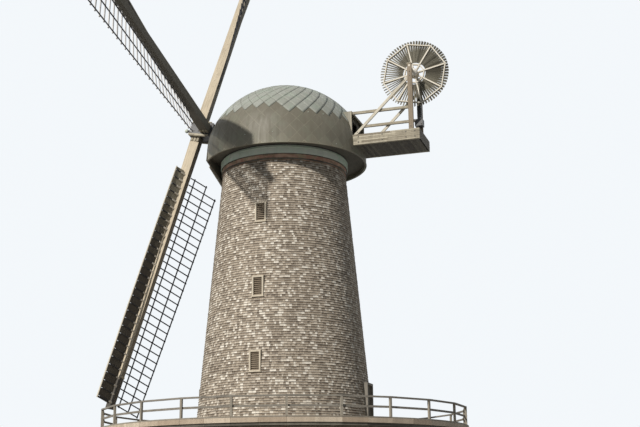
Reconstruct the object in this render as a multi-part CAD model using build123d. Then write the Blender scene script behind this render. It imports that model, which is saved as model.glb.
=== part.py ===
"""Traditional tower windmill: round shingled tower, timber gallery, domed copper cap, lattice sails and fantail.

Millimetres. The origin is on the ground at the tower's axis, +Z is up. The sails face -Y, the fantail is at +Y.
The cap turns about Z, the sails about the tilted windshaft, the fantail wheel about its own level axle.
"""
import os
from math import atan2, cos, degrees, radians, sin, tan

from build123d import *

# Levels above the ground
DECK_TOP = 5400.0
WALL_TOP = DECK_TOP + 12680.0
FOUNDATION_TOP = 350.0
MIDDLE_FLOOR = DECK_TOP + 4900.0
UPPER_FLOOR = DECK_TOP + 8500.0

# Tower wall
TOWER_R_GROUND = 4750.0
TOWER_R_TOP = 3110.0
WALL_THICKNESS = 260.0
FOUNDATION_LEDGE = 120.0
FLOOR_THICKNESS = 90.0

# Doors, one at the ground and two onto the gallery
DOOR_WIDTH = 1000.0
DOOR_HEIGHT = 2050.0
DOOR_SIDES = (90.0, -90.0)
GROUND_DOOR_WIDTH = 1300.0
GROUND_DOOR_HEIGHT = 2300.0
GROUND_DOOR_SIDE = 0.0
DOOR_FRAME = 110.0
DOOR_FRAME_PROUD = 60.0
DOOR_FRAME_LINING = 40.0
DOOR_LEAF = 50.0
DOOR_LEAF_SET_BACK = 120.0

# Louvred windows, a column on each side of the tower
WINDOW_WIDTH = 560.0
WINDOW_HEIGHT = 980.0
WINDOW_SIDES = (0.0, 180.0)
LOW_SILL = DECK_TOP + 2350.0
MIDDLE_SILL = DECK_TOP + 5880.0
HIGH_SILL = DECK_TOP + 9550.0
WINDOW_FRAME = 70.0
WINDOW_PROUD = 60.0
WINDOW_LINING = 60.0
LOUVRE_COUNT = 9
LOUVRE_THICKNESS = 18.0
LOUVRE_DEPTH = 95.0
LOUVRE_SET_BACK = 90.0
LOUVRE_SLOPE = 40.0
LOUVRE_STILE = 20.0
LOUVRE_STILE_DEPTH = 60.0

# Curb at the head of the tower
FRIEZE_HEIGHT = 320.0
FRIEZE_PROUD = 45.0
CURB_BAND_HEIGHT = 330.0
CURB_BAND_PROUD = 110.0
TRACK_HEIGHT = 90.0
TRACK_WIDTH = 220.0
TRACK_SET_IN = 40.0

# Gallery
DECK_R = 8840.0
DECK_THICKNESS = 60.0
RIM_DEPTH = 320.0
RIM_WIDTH = 160.0
RIM_SIDES = 48
BEARER_COUNT = 24
BAY_START = 5.0
BEARER_DEPTH = 260.0
BEARER_WIDTH = 180.0
GALLERY_POST_R = 7500.0
GALLERY_POST = 240.0
POST_FOOT = 600.0
POST_FOOT_HEIGHT = 300.0
RING_BEAM_DEPTH = 280.0
RING_BEAM_WIDTH = 220.0

# Gallery rail
RAIL_INSET = 100.0
RAIL_TOP_HEIGHT = 860.0
RAIL_MID_HEIGHT = 420.0
RAIL_POST = 95.0
TOP_RAIL_DEPTH = 70.0
TOP_RAIL_WIDTH = 110.0
MID_RAIL_DEPTH = 90.0
MID_RAIL_WIDTH = 40.0

# Cap
RUNNING_GAP = 12.0
CAP_R = 4100.0
CAP_SHELL = 70.0
CAP_CENTRE_Y = 100.0
LIP_DROP = 190.0
DRUM_HEIGHT = 450.0
DOME_RISE = 3720.0
DOME_KNEE_R = 3300.0
CAP_FLOOR_THICKNESS = 60.0
CAP_FLOOR_WELL_R = 1100.0
LIVE_RING_WIDTH = 260.0
LIVE_RING_SET_IN = 20.0
SOFFIT_RISE = 20.0
SOFFIT_THICKNESS = 50.0
SEAT_GAP = 0.3
FRONT_CLEARANCE = 20.0
FRONT_THICKNESS = 60.0
BEARD_HALF_WIDTH = 2400.0
BEARD_DROP = 750.0
SHAFT_HOLE_MARGIN = 160.0

# Tail stage and porch behind the cap
STAGE_HALF_WIDTH = 1170.0
STAGE_END_Y = 7380.0
STAGE_ROOT_Y = 1500.0
STAGE_BEAM_HEIGHT = 540.0
STAGE_BEAM_WIDTH = 150.0
STAGE_BEAM_BOTTOM = DECK_TOP + 13640.0
STAGE_DECK_THICKNESS = 60.0
STAGE_END_BOARD = 60.0
PORCH_SET_IN = 250.0
PORCH_TOP = DECK_TOP + 15430.0
PORCH_WALL = 60.0
PORCH_ROOT_Y = 2900.0
REAR_WALL_SET_BACK = 150.0
REAR_WALL_THICKNESS = 60.0
REAR_DOOR_WIDTH = 760.0
REAR_DOOR_SILL = 250.0
REAR_DOOR_HEIGHT = 1250.0
FAN_POST_Y = 6970.0
FAN_POST = 230.0
BRACE_SIZE = 130.0
BRACE_WIDTH = 80.0
BRACE_FOOT_CLEARANCE = 200.0
BRACE_HEAD_DROP = 650.0
HANDRAIL_HEIGHT = 1230.0
HANDRAIL_DEPTH = 130.0
HANDRAIL_WIDTH = 110.0

# Fantail wheel and the casing of its drive
FAN_AXLE_Z = DECK_TOP + 17480.0
FAN_AXLE_R = 55.0
FAN_HUB_R = 190.0
FAN_HUB_LENGTH = 460.0
FAN_SPOKES = 8
FAN_PHASE = 11.6
FAN_SPOKE = 65.0
FAN_RING_R = 1635.0
FAN_INNER_R = 520.0
FAN_RING_BAR = 55.0
FAN_FRAME_DEPTH = 140.0
FAN_TIP_R = 1755.0
FAN_BEARING = 200.0
FAN_BEARING_GAP = 1.0
SLATS_PER_SECTOR = 9
SLAT_THICKNESS = 14.0
SLAT_WIDTH = 110.0
SLAT_PITCH = 42.0
SLAT_INSET = 60.0
DRIVE_TUBE = 210.0
DRIVE_BOX = 400.0
DRIVE_BOX_BOTTOM = DECK_TOP + 14920.0
DRIVE_BOX_HEIGHT = 350.0
DRIVE_HEAD_GAP = 20.0

# Windshaft
SHAFT_TILT = 11.0
HUB_Y = -4543.0
HUB_Z = DECK_TOP + 15651.0
SHAFT_R = 260.0
SHAFT_TAIL = 7300.0
TAIL_R = 156.0
TAIL_LENGTH = 900.0
POLL_SIZE = 800.0
POLL_LENGTH = 1250.0
BALL_R = 105.0
BALL_REACH = 1000.0
BALL_NECK_R = 60.0
NECK_Y = -2900.0
NECK_BEAM = 420.0
NECK_HALF_WIDTH = 1500.0
TAIL_BEAM = 320.0
TAIL_BEAM_HALF_WIDTH = 900.0
TAIL_BEAM_TOP = 350.0
TAIL_BEAM_SET_IN = 250.0
SHAFT_CLEARANCE = 0.5

# Sails
SAIL_R = 15400.0
SAIL_PHASE = 13.6
STOCK_ROOT = 400.0
STOCK_TIP = 290.0
STOCK_ROOT_DEPTH = 520.0
STOCK_TIP_DEPTH = 310.0
STOCK_STRAIGHT = 900.0
BAR_COUNT = 32
BAR_PITCH = 401.0
FIRST_BAR = 2700.0
BAR_WIDTH = 50.0
BAR_DEPTH = 44.0
BAR_PLANE = 50.0
LATH_OFFSETS = (427.0, 1208.0, 1973.0)
LATH_WIDTH = 60.0
LATH_DEPTH = 34.0
LATH_OVERLAP = 6.0
BAR_OVERHANG = 90.0
LATH_OVERHANG = 60.0
CLEAR_CORNER_BARS = 1
WEATHER_ROOT = 30.6
WEATHER_TIP = 11.5
BOARD_ROOT_INNER = 500.0
BOARD_TIP_INNER = 380.0
BOARD_ROOT_WIDTH = 340.0
BOARD_TIP_WIDTH = 840.0
BOARD_THICKNESS = 28.0
BOARD_ROOT_OVERHANG = 200.0
BOARD_TIP_OVERHANG = 110.0
BOARD_LENGTHS = 2
STUB_COVER = 0.8

# Worked out from the sizes above
FLOOR_LEVELS = (DECK_TOP, MIDDLE_FLOOR, UPPER_FLOOR)
WALL_BREAKS = (FOUNDATION_TOP, DECK_TOP, MIDDLE_FLOOR, UPPER_FLOOR, WALL_TOP)
CURB_LOW = WALL_TOP + FRIEZE_HEIGHT
CURB_HIGH = CURB_LOW + CURB_BAND_HEIGHT
CAP_BASE = CURB_HIGH + TRACK_HEIGHT + RUNNING_GAP
CAP_FLOOR_Z = STAGE_BEAM_BOTTOM - CAP_FLOOR_THICKNESS
LIP_Z = CAP_BASE - LIP_DROP
SPRING_Z = LIP_Z + DRUM_HEIGHT
LIVE_RING_R = TOWER_R_TOP + CURB_BAND_PROUD - LIVE_RING_SET_IN
FRONT_Y = -(TOWER_R_TOP + CURB_BAND_PROUD + FRONT_CLEARANCE)
PORCH_Y = CAP_CENTRE_Y + CAP_R - PORCH_SET_IN
BRACE_FOOT_Y = PORCH_Y + BRACE_FOOT_CLEARANCE
STAGE_BEAM_TOP = STAGE_BEAM_BOTTOM + STAGE_BEAM_HEIGHT
RAIL_R = DECK_R - RAIL_INSET
GALLERY_POSTS = BEARER_COUNT // 2
GALLERY_POST_START = BAY_START + 360.0 / BEARER_COUNT

os.makedirs("parts", exist_ok=True)


def tower_r(z):
    """Outer radius of the shingled wall at height z."""
    return TOWER_R_GROUND + (TOWER_R_TOP - TOWER_R_GROUND) * z / WALL_TOP


def cone(r_low, r_high, z_low, z_high):
    """Solid of revolution between two levels, a cylinder where the radii agree."""
    height = z_high - z_low
    solid = Cylinder(r_low, height) if r_low == r_high else Cone(r_low, r_high, height)
    return Pos(0, 0, (z_low + z_high) / 2) * solid


def ring(r_in, r_out, z_low, z_high):
    """Flat-topped ring with upright sides."""
    return cone(r_out, r_out, z_low, z_high) - cone(r_in, r_in, z_low, z_high)


def block(half_width, y_low, y_high, z_low, z_high):
    """Box centred on the plane of symmetry."""
    return Pos(0, (y_low + y_high) / 2, (z_low + z_high) / 2) * Box(2 * half_width, y_high - y_low, z_high - z_low)


def timber(start, end, width, depth):
    """Squared timber between two points; depth is measured upright when it lies level."""
    a, b = Vector(*start), Vector(*end)
    along = b - a
    across = Vector(0, 0, 1).cross(along).normalized()
    plane = Plane(origin=(a + b) / 2, x_dir=along, z_dir=along.cross(across))
    return plane * Box(along.length, width, depth)


def around(shape, count, start=0.0):
    """Copies of a shape turned evenly about the tower's axis."""
    return [Rot(0, 0, start + 360.0 * i / count) * shape for i in range(count)]


def pair(shape):
    """A piece and its mirror image on the other side."""
    return [shape, mirror(shape, Plane.YZ)]


# Tower
def wall_shell(z_low, z_high):
    """Hollow length of the tapered wall."""
    outer = cone(tower_r(z_low), tower_r(z_high), z_low, z_high)
    inner = cone(tower_r(z_low) - WALL_THICKNESS, tower_r(z_high) - WALL_THICKNESS, z_low, z_high)
    return outer - inner


def radial_box(angle, width, z_low, z_high, r_in, r_out):
    """Upright box through the wall, centred on an angle."""
    box = Pos((r_in + r_out) / 2, 0, (z_low + z_high) / 2) * Box(r_out - r_in, width, z_high - z_low)
    return Rot(0, 0, angle) * box


def window_places():
    """Angle and sill level of each window."""
    return [(side, sill) for sill in (LOW_SILL, MIDDLE_SILL, HIGH_SILL) for side in WINDOW_SIDES]


def door_places():
    """Angle, sill level, width and height of each doorway."""
    places = [(side, DECK_TOP, DOOR_WIDTH, DOOR_HEIGHT) for side in DOOR_SIDES]
    places.append((GROUND_DOOR_SIDE, FOUNDATION_TOP, GROUND_DOOR_WIDTH, GROUND_DOOR_HEIGHT))
    return places


def wall_cuts():
    """Boxes that cut the windows and doors right through the wall."""
    reach = TOWER_R_GROUND + WALL_THICKNESS
    cuts = [radial_box(side, WINDOW_WIDTH, sill, sill + WINDOW_HEIGHT, TOWER_R_TOP / 2, reach)
            for side, sill in window_places()]
    cuts += [radial_box(side, w, sill, sill + h, TOWER_R_TOP / 2, reach) for side, sill, w, h in door_places()]
    return cuts


def wall_level(index):
    """One storey of wall with its windows and doors cut through."""
    wall = wall_shell(WALL_BREAKS[index], WALL_BREAKS[index + 1])
    for cut in wall_cuts():
        wall = wall - cut
    return wall


def foundations():
    """Round slab under the tower and a pad under each gallery post."""
    radius = TOWER_R_GROUND + FOUNDATION_LEDGE
    pad = Pos(GALLERY_POST_R, 0, POST_FOOT_HEIGHT / 2) * Box(POST_FOOT, POST_FOOT, POST_FOOT_HEIGHT)
    return [cone(radius, radius, 0.0, FOUNDATION_TOP)] + around(pad, GALLERY_POSTS, GALLERY_POST_START)


def boarded_floor(level):
    """Floor that fills the tower from wall to wall."""
    low = level - FLOOR_THICKNESS
    return cone(tower_r(low) - WALL_THICKNESS, tower_r(level) - WALL_THICKNESS, low, level)


def window_reach(sill):
    """Radii that a window's frame spans, from the room side to just proud of the shingles."""
    return tower_r(sill + WINDOW_HEIGHT) - WALL_THICKNESS - WINDOW_LINING, tower_r(sill) + WINDOW_PROUD


def window_frame(side, sill):
    """Boxed frame that lines the opening."""
    r_in, r_out = window_reach(sill)
    top = sill + WINDOW_HEIGHT
    outer = radial_box(side, WINDOW_WIDTH, sill, top, r_in, r_out)
    inner = radial_box(side, WINDOW_WIDTH - 2 * WINDOW_FRAME, sill + WINDOW_FRAME, top - WINDOW_FRAME,
                       r_in - WINDOW_LINING, r_out + WINDOW_PROUD)
    return outer - inner


def louvre_leaf(side, sill):
    """Sloping slats between two stiles."""
    clear_w = WINDOW_WIDTH - 2 * WINDOW_FRAME
    clear_h = WINDOW_HEIGHT - 2 * WINDOW_FRAME
    x = window_reach(sill)[1] - LOUVRE_SET_BACK
    stile = Pos(x, (clear_w - LOUVRE_STILE) / 2, sill + WINDOW_HEIGHT / 2)
    stile = stile * Box(LOUVRE_STILE_DEPTH, LOUVRE_STILE, clear_h)
    leaf = stile + mirror(stile, Plane.XZ)
    slat = Rot(0, LOUVRE_SLOPE, 0) * Box(LOUVRE_DEPTH, clear_w - LOUVRE_STILE, LOUVRE_THICKNESS)
    pitch = clear_h / LOUVRE_COUNT
    for i in range(LOUVRE_COUNT):
        leaf = leaf + Pos(x, 0, sill + WINDOW_FRAME + pitch * (i + 0.5)) * slat
    return Rot(0, 0, side) * leaf


def door_frame(side, sill, width, height):
    """Lining and head of a doorway, open at the sill."""
    r_in = tower_r(sill + height) - WALL_THICKNESS - DOOR_FRAME_LINING
    r_out = tower_r(sill) + DOOR_FRAME_PROUD
    outer = radial_box(side, width, sill, sill + height, r_in, r_out)
    inner = radial_box(side, width - 2 * DOOR_FRAME, sill - DOOR_FRAME, sill + height - DOOR_FRAME,
                       r_in - DOOR_FRAME_LINING, r_out + DOOR_FRAME_PROUD)
    return outer - inner


def door_leaf(side, sill, width, height):
    """Closed boarded leaf inside the frame."""
    x = tower_r(sill) - DOOR_LEAF_SET_BACK
    return radial_box(side, width - 2 * DOOR_FRAME, sill, sill + height - DOOR_FRAME, x, x + DOOR_LEAF)


def frieze():
    """Painted band over the shingles."""
    return ring(TOWER_R_TOP - WALL_THICKNESS, TOWER_R_TOP + FRIEZE_PROUD, WALL_TOP, CURB_LOW)


def curb_band():
    """Copper-clad curb that closes the wall head."""
    return ring(TOWER_R_TOP - WALL_THICKNESS, TOWER_R_TOP + CURB_BAND_PROUD, CURB_LOW, CURB_HIGH)


def curb_track():
    """Iron ring that the cap slides on."""
    r_out = TOWER_R_TOP + CURB_BAND_PROUD - TRACK_SET_IN
    return ring(r_out - TRACK_WIDTH, r_out, CURB_HIGH, CURB_HIGH + TRACK_HEIGHT)


# Gallery
def polygon_plate(radius, sides, z_low, z_high, start=0.0):
    """Flat plate whose corners lie on the radius."""
    return extrude(Pos(0, 0, z_low) * RegularPolygon(radius, sides, rotation=start), z_high - z_low)


def polygon_ring(radius, width, z_low, z_high, sides, start=0.0):
    """Straight timbers joined in a ring, with their corners on the radius."""
    outer = polygon_plate(radius + width / 2, sides, z_low, z_high, start)
    return outer - polygon_plate(radius - width / 2, sides, z_low, z_high, start)


def gallery_deck():
    low = DECK_TOP - DECK_THICKNESS
    plate = polygon_plate(DECK_R, RIM_SIDES, low, DECK_TOP, BAY_START)
    return plate - cone(tower_r(low), tower_r(DECK_TOP), low, DECK_TOP)


def gallery_rim():
    top = DECK_TOP - DECK_THICKNESS
    return polygon_ring(DECK_R - RIM_WIDTH / 2, RIM_WIDTH, top - RIM_DEPTH, top, RIM_SIDES, BAY_START)


def gallery_bearers():
    """Radial joists from the wall to the rim, one under each post of the rail."""
    top = DECK_TOP - DECK_THICKNESS
    r_in = tower_r(top - BEARER_DEPTH)
    r_out = (DECK_R - RIM_WIDTH) * cos(radians(180.0 / RIM_SIDES))
    bar = Pos((r_in + r_out) / 2, 0, top - BEARER_DEPTH / 2) * Box(r_out - r_in, BEARER_WIDTH, BEARER_DEPTH)
    return around(bar, BEARER_COUNT, BAY_START)


def gallery_ring_beam():
    """Straight timbers from post to post under the bearers."""
    top = DECK_TOP - DECK_THICKNESS - BEARER_DEPTH
    low = top - RING_BEAM_DEPTH
    return polygon_ring(GALLERY_POST_R, RING_BEAM_WIDTH, low, top, GALLERY_POSTS, GALLERY_POST_START)


def gallery_posts():
    top = DECK_TOP - DECK_THICKNESS - BEARER_DEPTH - RING_BEAM_DEPTH
    post = Pos(GALLERY_POST_R, 0, (POST_FOOT_HEIGHT + top) / 2)
    post = post * Box(GALLERY_POST, GALLERY_POST, top - POST_FOOT_HEIGHT)
    return around(post, GALLERY_POSTS, GALLERY_POST_START)


def rail_posts():
    height = RAIL_TOP_HEIGHT - TOP_RAIL_DEPTH
    post = Pos(RAIL_R, 0, DECK_TOP + height / 2) * Box(RAIL_POST, RAIL_POST, height)
    return around(post, BEARER_COUNT, BAY_START)


def gallery_rails():
    """Top rail over the posts and middle rail along their inner faces."""
    high = DECK_TOP + RAIL_TOP_HEIGHT
    top = polygon_ring(RAIL_R, TOP_RAIL_WIDTH, high - TOP_RAIL_DEPTH, high, BEARER_COUNT, BAY_START)
    middle = DECK_TOP + RAIL_MID_HEIGHT + MID_RAIL_DEPTH / 2
    r = RAIL_R - RAIL_POST / 2 - MID_RAIL_WIDTH / 2
    return [top, polygon_ring(r, MID_RAIL_WIDTH, middle - MID_RAIL_DEPTH, middle, BEARER_COUNT, BAY_START)]


# Cap: everything here turns about the tower's axis
def dome_profile(inset, low):
    """Half section: upright drum, a knee arc and a flatter crown arc, tangent to each other."""
    radius, rise, knee = CAP_R - inset, DOME_RISE - inset, DOME_KNEE_R - inset
    crown = ((radius - knee) ** 2 + rise ** 2 - knee ** 2) / (2 * (rise - knee))
    turn = degrees(atan2(crown - rise, radius - knee))
    edges = [
        Line((0, low), (radius, low)),
        Line((radius, low), (radius, SPRING_Z)),
        CenterArc((radius - knee, SPRING_Z), knee, 0, turn),
        CenterArc((0, SPRING_Z + rise - crown), crown, turn, 90 - turn),
        Line((0, SPRING_Z + rise), (0, low)),
    ]
    return make_face(edges)


def dome_solid(inset, low):
    face = Plane.XZ * dome_profile(inset, low)
    return Pos(0, CAP_CENTRE_Y, 0) * revolve(face, Axis.Z)


def behind_front(shape):
    """Cuts a piece of the cap off at its flat front."""
    return shape - block(2 * CAP_R, -2 * CAP_R, FRONT_Y, DECK_TOP, FAN_AXLE_Z + CAP_R)


def porch_box(inset):
    """Space behind the dome that the porch takes up, down to the floor of the stage."""
    return block(STAGE_HALF_WIDTH - inset, PORCH_ROOT_Y, STAGE_END_Y, STAGE_BEAM_BOTTOM, PORCH_TOP - inset)


def dome():
    """Boarded shell, open underneath, cut flat in front and opened behind for the porch and the tail stage."""
    shell = dome_solid(0.0, LIP_Z) - dome_solid(CAP_SHELL, LIP_Z - CAP_SHELL)
    return behind_front(shell) - porch_box(0.0)


def shaft_place():
    """Frame at the crossing of the stocks: -Y runs out along the windshaft."""
    return Pos(0, HUB_Y, HUB_Z) * Rot(-SHAFT_TILT, 0, 0)


def shaft_rod(radius, length):
    """Round bar along the windshaft's axis, centred on the crossing of the stocks."""
    return shaft_place() * Rot(90, 0, 0) * Cylinder(radius, length)


def cap_front():
    """Flat boarded front with a pointed beard below the lip and the hole for the windshaft."""
    low = FRONT_Y - FRONT_THICKNESS
    plate = dome_solid(0.0, LIP_Z) & block(CAP_R, low, FRONT_Y, LIP_Z, FAN_AXLE_Z + CAP_R)
    beard = Polyline((-BEARD_HALF_WIDTH, LIP_Z), (BEARD_HALF_WIDTH, LIP_Z), (0, LIP_Z - BEARD_DROP), close=True)
    beard = Pos(0, FRONT_Y, 0) * extrude(Plane.XZ * make_face(beard), FRONT_THICKNESS)
    return plate + beard - shaft_rod(SHAFT_R + SHAFT_HOLE_MARGIN, 2 * SHAFT_TAIL)


def soffit():
    """Flat boarded underside between the live ring and the lip."""
    low = CAP_BASE + SOFFIT_RISE
    high = low + SOFFIT_THICKNESS
    plate = Pos(0, CAP_CENTRE_Y, 0) * cone(CAP_R - CAP_SHELL, CAP_R - CAP_SHELL, low, high)
    return behind_front(plate) - cone(LIVE_RING_R, LIVE_RING_R, low, high)


def live_ring():
    """Iron ring under the cap that slides on the track."""
    return ring(LIVE_RING_R - LIVE_RING_WIDTH, LIVE_RING_R, CAP_BASE - RUNNING_GAP + SEAT_GAP, CAP_FLOOR_Z)


def cap_floor():
    """Boarded floor over the live ring, with a well in the middle."""
    high = CAP_FLOOR_Z + CAP_FLOOR_THICKNESS
    plate = Pos(0, CAP_CENTRE_Y, 0) * cone(CAP_R - CAP_SHELL, CAP_R - CAP_SHELL, CAP_FLOOR_Z, high)
    return behind_front(plate) - cone(CAP_FLOOR_WELL_R, CAP_FLOOR_WELL_R, CAP_FLOOR_Z, high)


def stage_beams():
    x = STAGE_HALF_WIDTH - STAGE_BEAM_WIDTH / 2
    beam = Pos(x, (STAGE_ROOT_Y + STAGE_END_Y) / 2, STAGE_BEAM_BOTTOM + STAGE_BEAM_HEIGHT / 2)
    return pair(beam * Box(STAGE_BEAM_WIDTH, STAGE_END_Y - STAGE_ROOT_Y, STAGE_BEAM_HEIGHT))


def stage_deck():
    """Floor between the beams and the board that closes its end."""
    half = STAGE_HALF_WIDTH - STAGE_BEAM_WIDTH
    end = STAGE_END_Y - STAGE_END_BOARD
    return [block(half, PORCH_Y, end, STAGE_BEAM_BOTTOM, STAGE_BEAM_BOTTOM + STAGE_DECK_THICKNESS),
            block(half, end, STAGE_END_Y, STAGE_BEAM_BOTTOM, STAGE_BEAM_TOP)]


def porch():
    """Cheeks on the stage beams and a flat roof, standing out of the dome."""
    outer = block(STAGE_HALF_WIDTH, PORCH_ROOT_Y, PORCH_Y, STAGE_BEAM_TOP, PORCH_TOP)
    inner = block(STAGE_HALF_WIDTH - PORCH_WALL, PORCH_ROOT_Y, PORCH_Y, STAGE_BEAM_TOP, PORCH_TOP - PORCH_WALL)
    return outer - inner - dome_solid(CAP_SHELL, LIP_Z)


def rear_wall():
    """Boarded back wall of the cap inside the porch, with its doorway."""
    high = PORCH_Y - REAR_WALL_SET_BACK
    low = high - REAR_WALL_THICKNESS
    half = STAGE_HALF_WIDTH - PORCH_WALL
    upper = block(half, low, high, STAGE_BEAM_TOP, PORCH_TOP - PORCH_WALL)
    wall = upper + block(STAGE_HALF_WIDTH - STAGE_BEAM_WIDTH, low, high, STAGE_BEAM_BOTTOM, STAGE_BEAM_TOP)
    sill = STAGE_BEAM_BOTTOM + REAR_DOOR_SILL
    return wall - block(REAR_DOOR_WIDTH / 2, low, high, sill, sill + REAR_DOOR_HEIGHT)


def fan_posts():
    x = STAGE_HALF_WIDTH - STAGE_BEAM_WIDTH / 2
    high = FAN_AXLE_Z - FAN_BEARING / 2
    post = Pos(x, FAN_POST_Y, (STAGE_BEAM_TOP + high) / 2) * Box(STAGE_BEAM_WIDTH, FAN_POST, high - STAGE_BEAM_TOP)
    return pair(post)


def fan_bearings():
    x = STAGE_HALF_WIDTH - STAGE_BEAM_WIDTH / 2
    bearing = Pos(x, FAN_POST_Y, FAN_AXLE_Z) * Box(STAGE_BEAM_WIDTH, FAN_BEARING, FAN_BEARING)
    return pair(bearing - fan_place() * Cylinder(FAN_AXLE_R + FAN_BEARING_GAP, 2 * STAGE_HALF_WIDTH + FAN_BEARING))


def fan_drive():
    """Casing of the upright drive shaft inside the far post, with its gearbox below."""
    x = -(STAGE_HALF_WIDTH - STAGE_BEAM_WIDTH)
    box = Pos(x + DRIVE_BOX / 2, FAN_POST_Y, DRIVE_BOX_BOTTOM + DRIVE_BOX_HEIGHT / 2)
    box = box * Box(DRIVE_BOX, DRIVE_BOX, DRIVE_BOX_HEIGHT)
    low = DRIVE_BOX_BOTTOM + DRIVE_BOX_HEIGHT
    high = FAN_AXLE_Z - FAN_AXLE_R - DRIVE_HEAD_GAP
    return box + Pos(x + DRIVE_TUBE / 2, FAN_POST_Y, (low + high) / 2) * Box(DRIVE_TUBE, DRIVE_TUBE, high - low)


def fan_braces():
    """Raking timbers from the stage beams to the posts, cut flush at both ends."""
    x = STAGE_HALF_WIDTH - BRACE_WIDTH / 2
    face_y = FAN_POST_Y - FAN_POST / 2
    foot = Vector(x, BRACE_FOOT_Y, STAGE_BEAM_TOP)
    head = Vector(x, face_y, FAN_AXLE_Z - BRACE_HEAD_DROP)
    over = (head - foot).normalized() * 2 * BRACE_SIZE
    bar = timber(foot - over, head + over, BRACE_WIDTH, BRACE_SIZE)
    bar = bar - block(2 * STAGE_HALF_WIDTH, 0.0, STAGE_END_Y, STAGE_BEAM_BOTTOM, STAGE_BEAM_TOP)
    bar = bar - block(2 * STAGE_HALF_WIDTH, face_y, STAGE_END_Y, STAGE_BEAM_TOP, FAN_AXLE_Z + FAN_TIP_R)
    return pair(bar)


def stage_handrails():
    """Rail on each side from the porch to the post, inside the brace."""
    x = STAGE_HALF_WIDTH - BRACE_WIDTH - HANDRAIL_WIDTH / 2
    y_out = FAN_POST_Y - FAN_POST / 2
    z = STAGE_BEAM_TOP + HANDRAIL_HEIGHT - HANDRAIL_DEPTH / 2
    return pair(Pos(x, (PORCH_Y + y_out) / 2, z) * Box(HANDRAIL_WIDTH, y_out - PORCH_Y, HANDRAIL_DEPTH))


def axis_height(y):
    """Height of the windshaft's axis over a place along the cap."""
    return HUB_Z - (y - HUB_Y) * tan(radians(SHAFT_TILT))


def shaft_beams():
    """Cross timbers under the windshaft: the neck beam hollowed to its curve, the tail beam round its tail."""
    bottom = CAP_FLOOR_Z + CAP_FLOOR_THICKNESS
    neck = block(NECK_HALF_WIDTH, NECK_Y - NECK_BEAM / 2, NECK_Y + NECK_BEAM / 2, bottom, axis_height(NECK_Y))
    y = HUB_Y + (SHAFT_TAIL - TAIL_BEAM_SET_IN) * cos(radians(SHAFT_TILT))
    top = axis_height(y) + TAIL_BEAM_TOP
    tail = block(TAIL_BEAM_HALF_WIDTH, y - TAIL_BEAM / 2, y + TAIL_BEAM / 2, bottom, top)
    return [neck - shaft_rod(SHAFT_R + SHAFT_CLEARANCE, 2 * SHAFT_TAIL),
            tail - shaft_rod(TAIL_R + SHAFT_CLEARANCE, 3 * SHAFT_TAIL)]


# Windshaft and sails, modelled on the shaft's own frame
def windshaft():
    """Round iron shaft from the poll end to its thinner tail."""
    start = POLL_LENGTH / 2
    length = SHAFT_TAIL - TAIL_LENGTH - start
    body = Pos(0, start + length / 2, 0) * Rot(90, 0, 0) * Cylinder(SHAFT_R, length)
    tail = Pos(0, SHAFT_TAIL - TAIL_LENGTH / 2, 0) * Rot(90, 0, 0) * Cylinder(TAIL_R, TAIL_LENGTH)
    return shaft_place() * (body + tail)


def poll_end():
    """Square iron head that the two stocks pass through, with a ball on a short neck in front."""
    neck = Pos(0, -BALL_REACH / 2, 0) * Rot(90, 0, 0) * Cylinder(BALL_NECK_R, BALL_REACH)
    ball = Pos(0, -BALL_REACH, 0) * Sphere(BALL_R)
    head = sail_turn(0) * (Box(POLL_SIZE, POLL_LENGTH, POLL_SIZE) + neck + ball)
    for i in (0, 1):
        head = head - sail_turn(i) * stock(i, SHAFT_CLEARANCE)
    return shaft_place() * head


def sail_turn(i):
    """Turn about the windshaft from straight up to sail i; sail 0 hangs down on the +X side."""
    return Rot(0, 180.0 - SAIL_PHASE + 90.0 * i, 0)


def stock_side(i):
    """Side of the crossing that a stock lies on: sails 0 and 2 share the outer one, 1 and 3 the inner one."""
    return -1.0 if i % 2 == 0 else 1.0


def stock(i, clearance=0.0):
    """Long timber, tapering to both tips in width, and in depth on the face away from the other stock."""
    mid, tip = STOCK_ROOT / 2 + clearance, STOCK_TIP / 2 + clearance
    front = [(mid, -STOCK_STRAIGHT), (mid, STOCK_STRAIGHT), (tip, SAIL_R), (-tip, SAIL_R)]
    front = make_face(Polyline(*front, *[(-x, -z) for x, z in front], close=True))
    deep, shallow = STOCK_ROOT_DEPTH + clearance, STOCK_TIP_DEPTH + clearance
    side = [(deep, STOCK_STRAIGHT), (shallow, SAIL_R), (-clearance, SAIL_R), (-clearance, -SAIL_R),
            (shallow, -SAIL_R), (deep, -STOCK_STRAIGHT)]
    side = make_face(Polyline(*[(stock_side(i) * y, z) for y, z in side], close=True))
    bar = extrude(Plane.XZ * front, 2 * STOCK_ROOT_DEPTH, both=True)
    return bar & extrude(Plane.YZ * side, STOCK_ROOT, both=True)


def bar_plane(i):
    """Place along the shaft of the plane that sail i's bars lie in, near the face where the stocks meet."""
    return stock_side(i) * BAR_PLANE


def share_out(s):
    """How far out along the sail a place is, from 0 at the first bar to 1 at the last."""
    return (s - FIRST_BAR) / ((BAR_COUNT - 1) * BAR_PITCH)


def weather(s):
    """Angle of the sail's surface to the plane that it turns in."""
    return WEATHER_ROOT + (WEATHER_TIP - WEATHER_ROOT) * share_out(s)


def sail_point(s, t, n):
    """Place on a sail: s out from the shaft, t towards the trailing edge, n behind the sail's surface."""
    w = radians(weather(s))
    return Vector(t * cos(w) - n * sin(w), t * sin(w) + n * cos(w), s)


def sail_bar(s, t_low, t_high):
    """Straight bar across the sail at its weather angle."""
    place = Pos(0, 0, s) * Rot(0, 0, weather(s)) * Pos((t_low + t_high) / 2, 0, 0)
    return place * Box(t_high - t_low, BAR_DEPTH, BAR_WIDTH)


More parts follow.
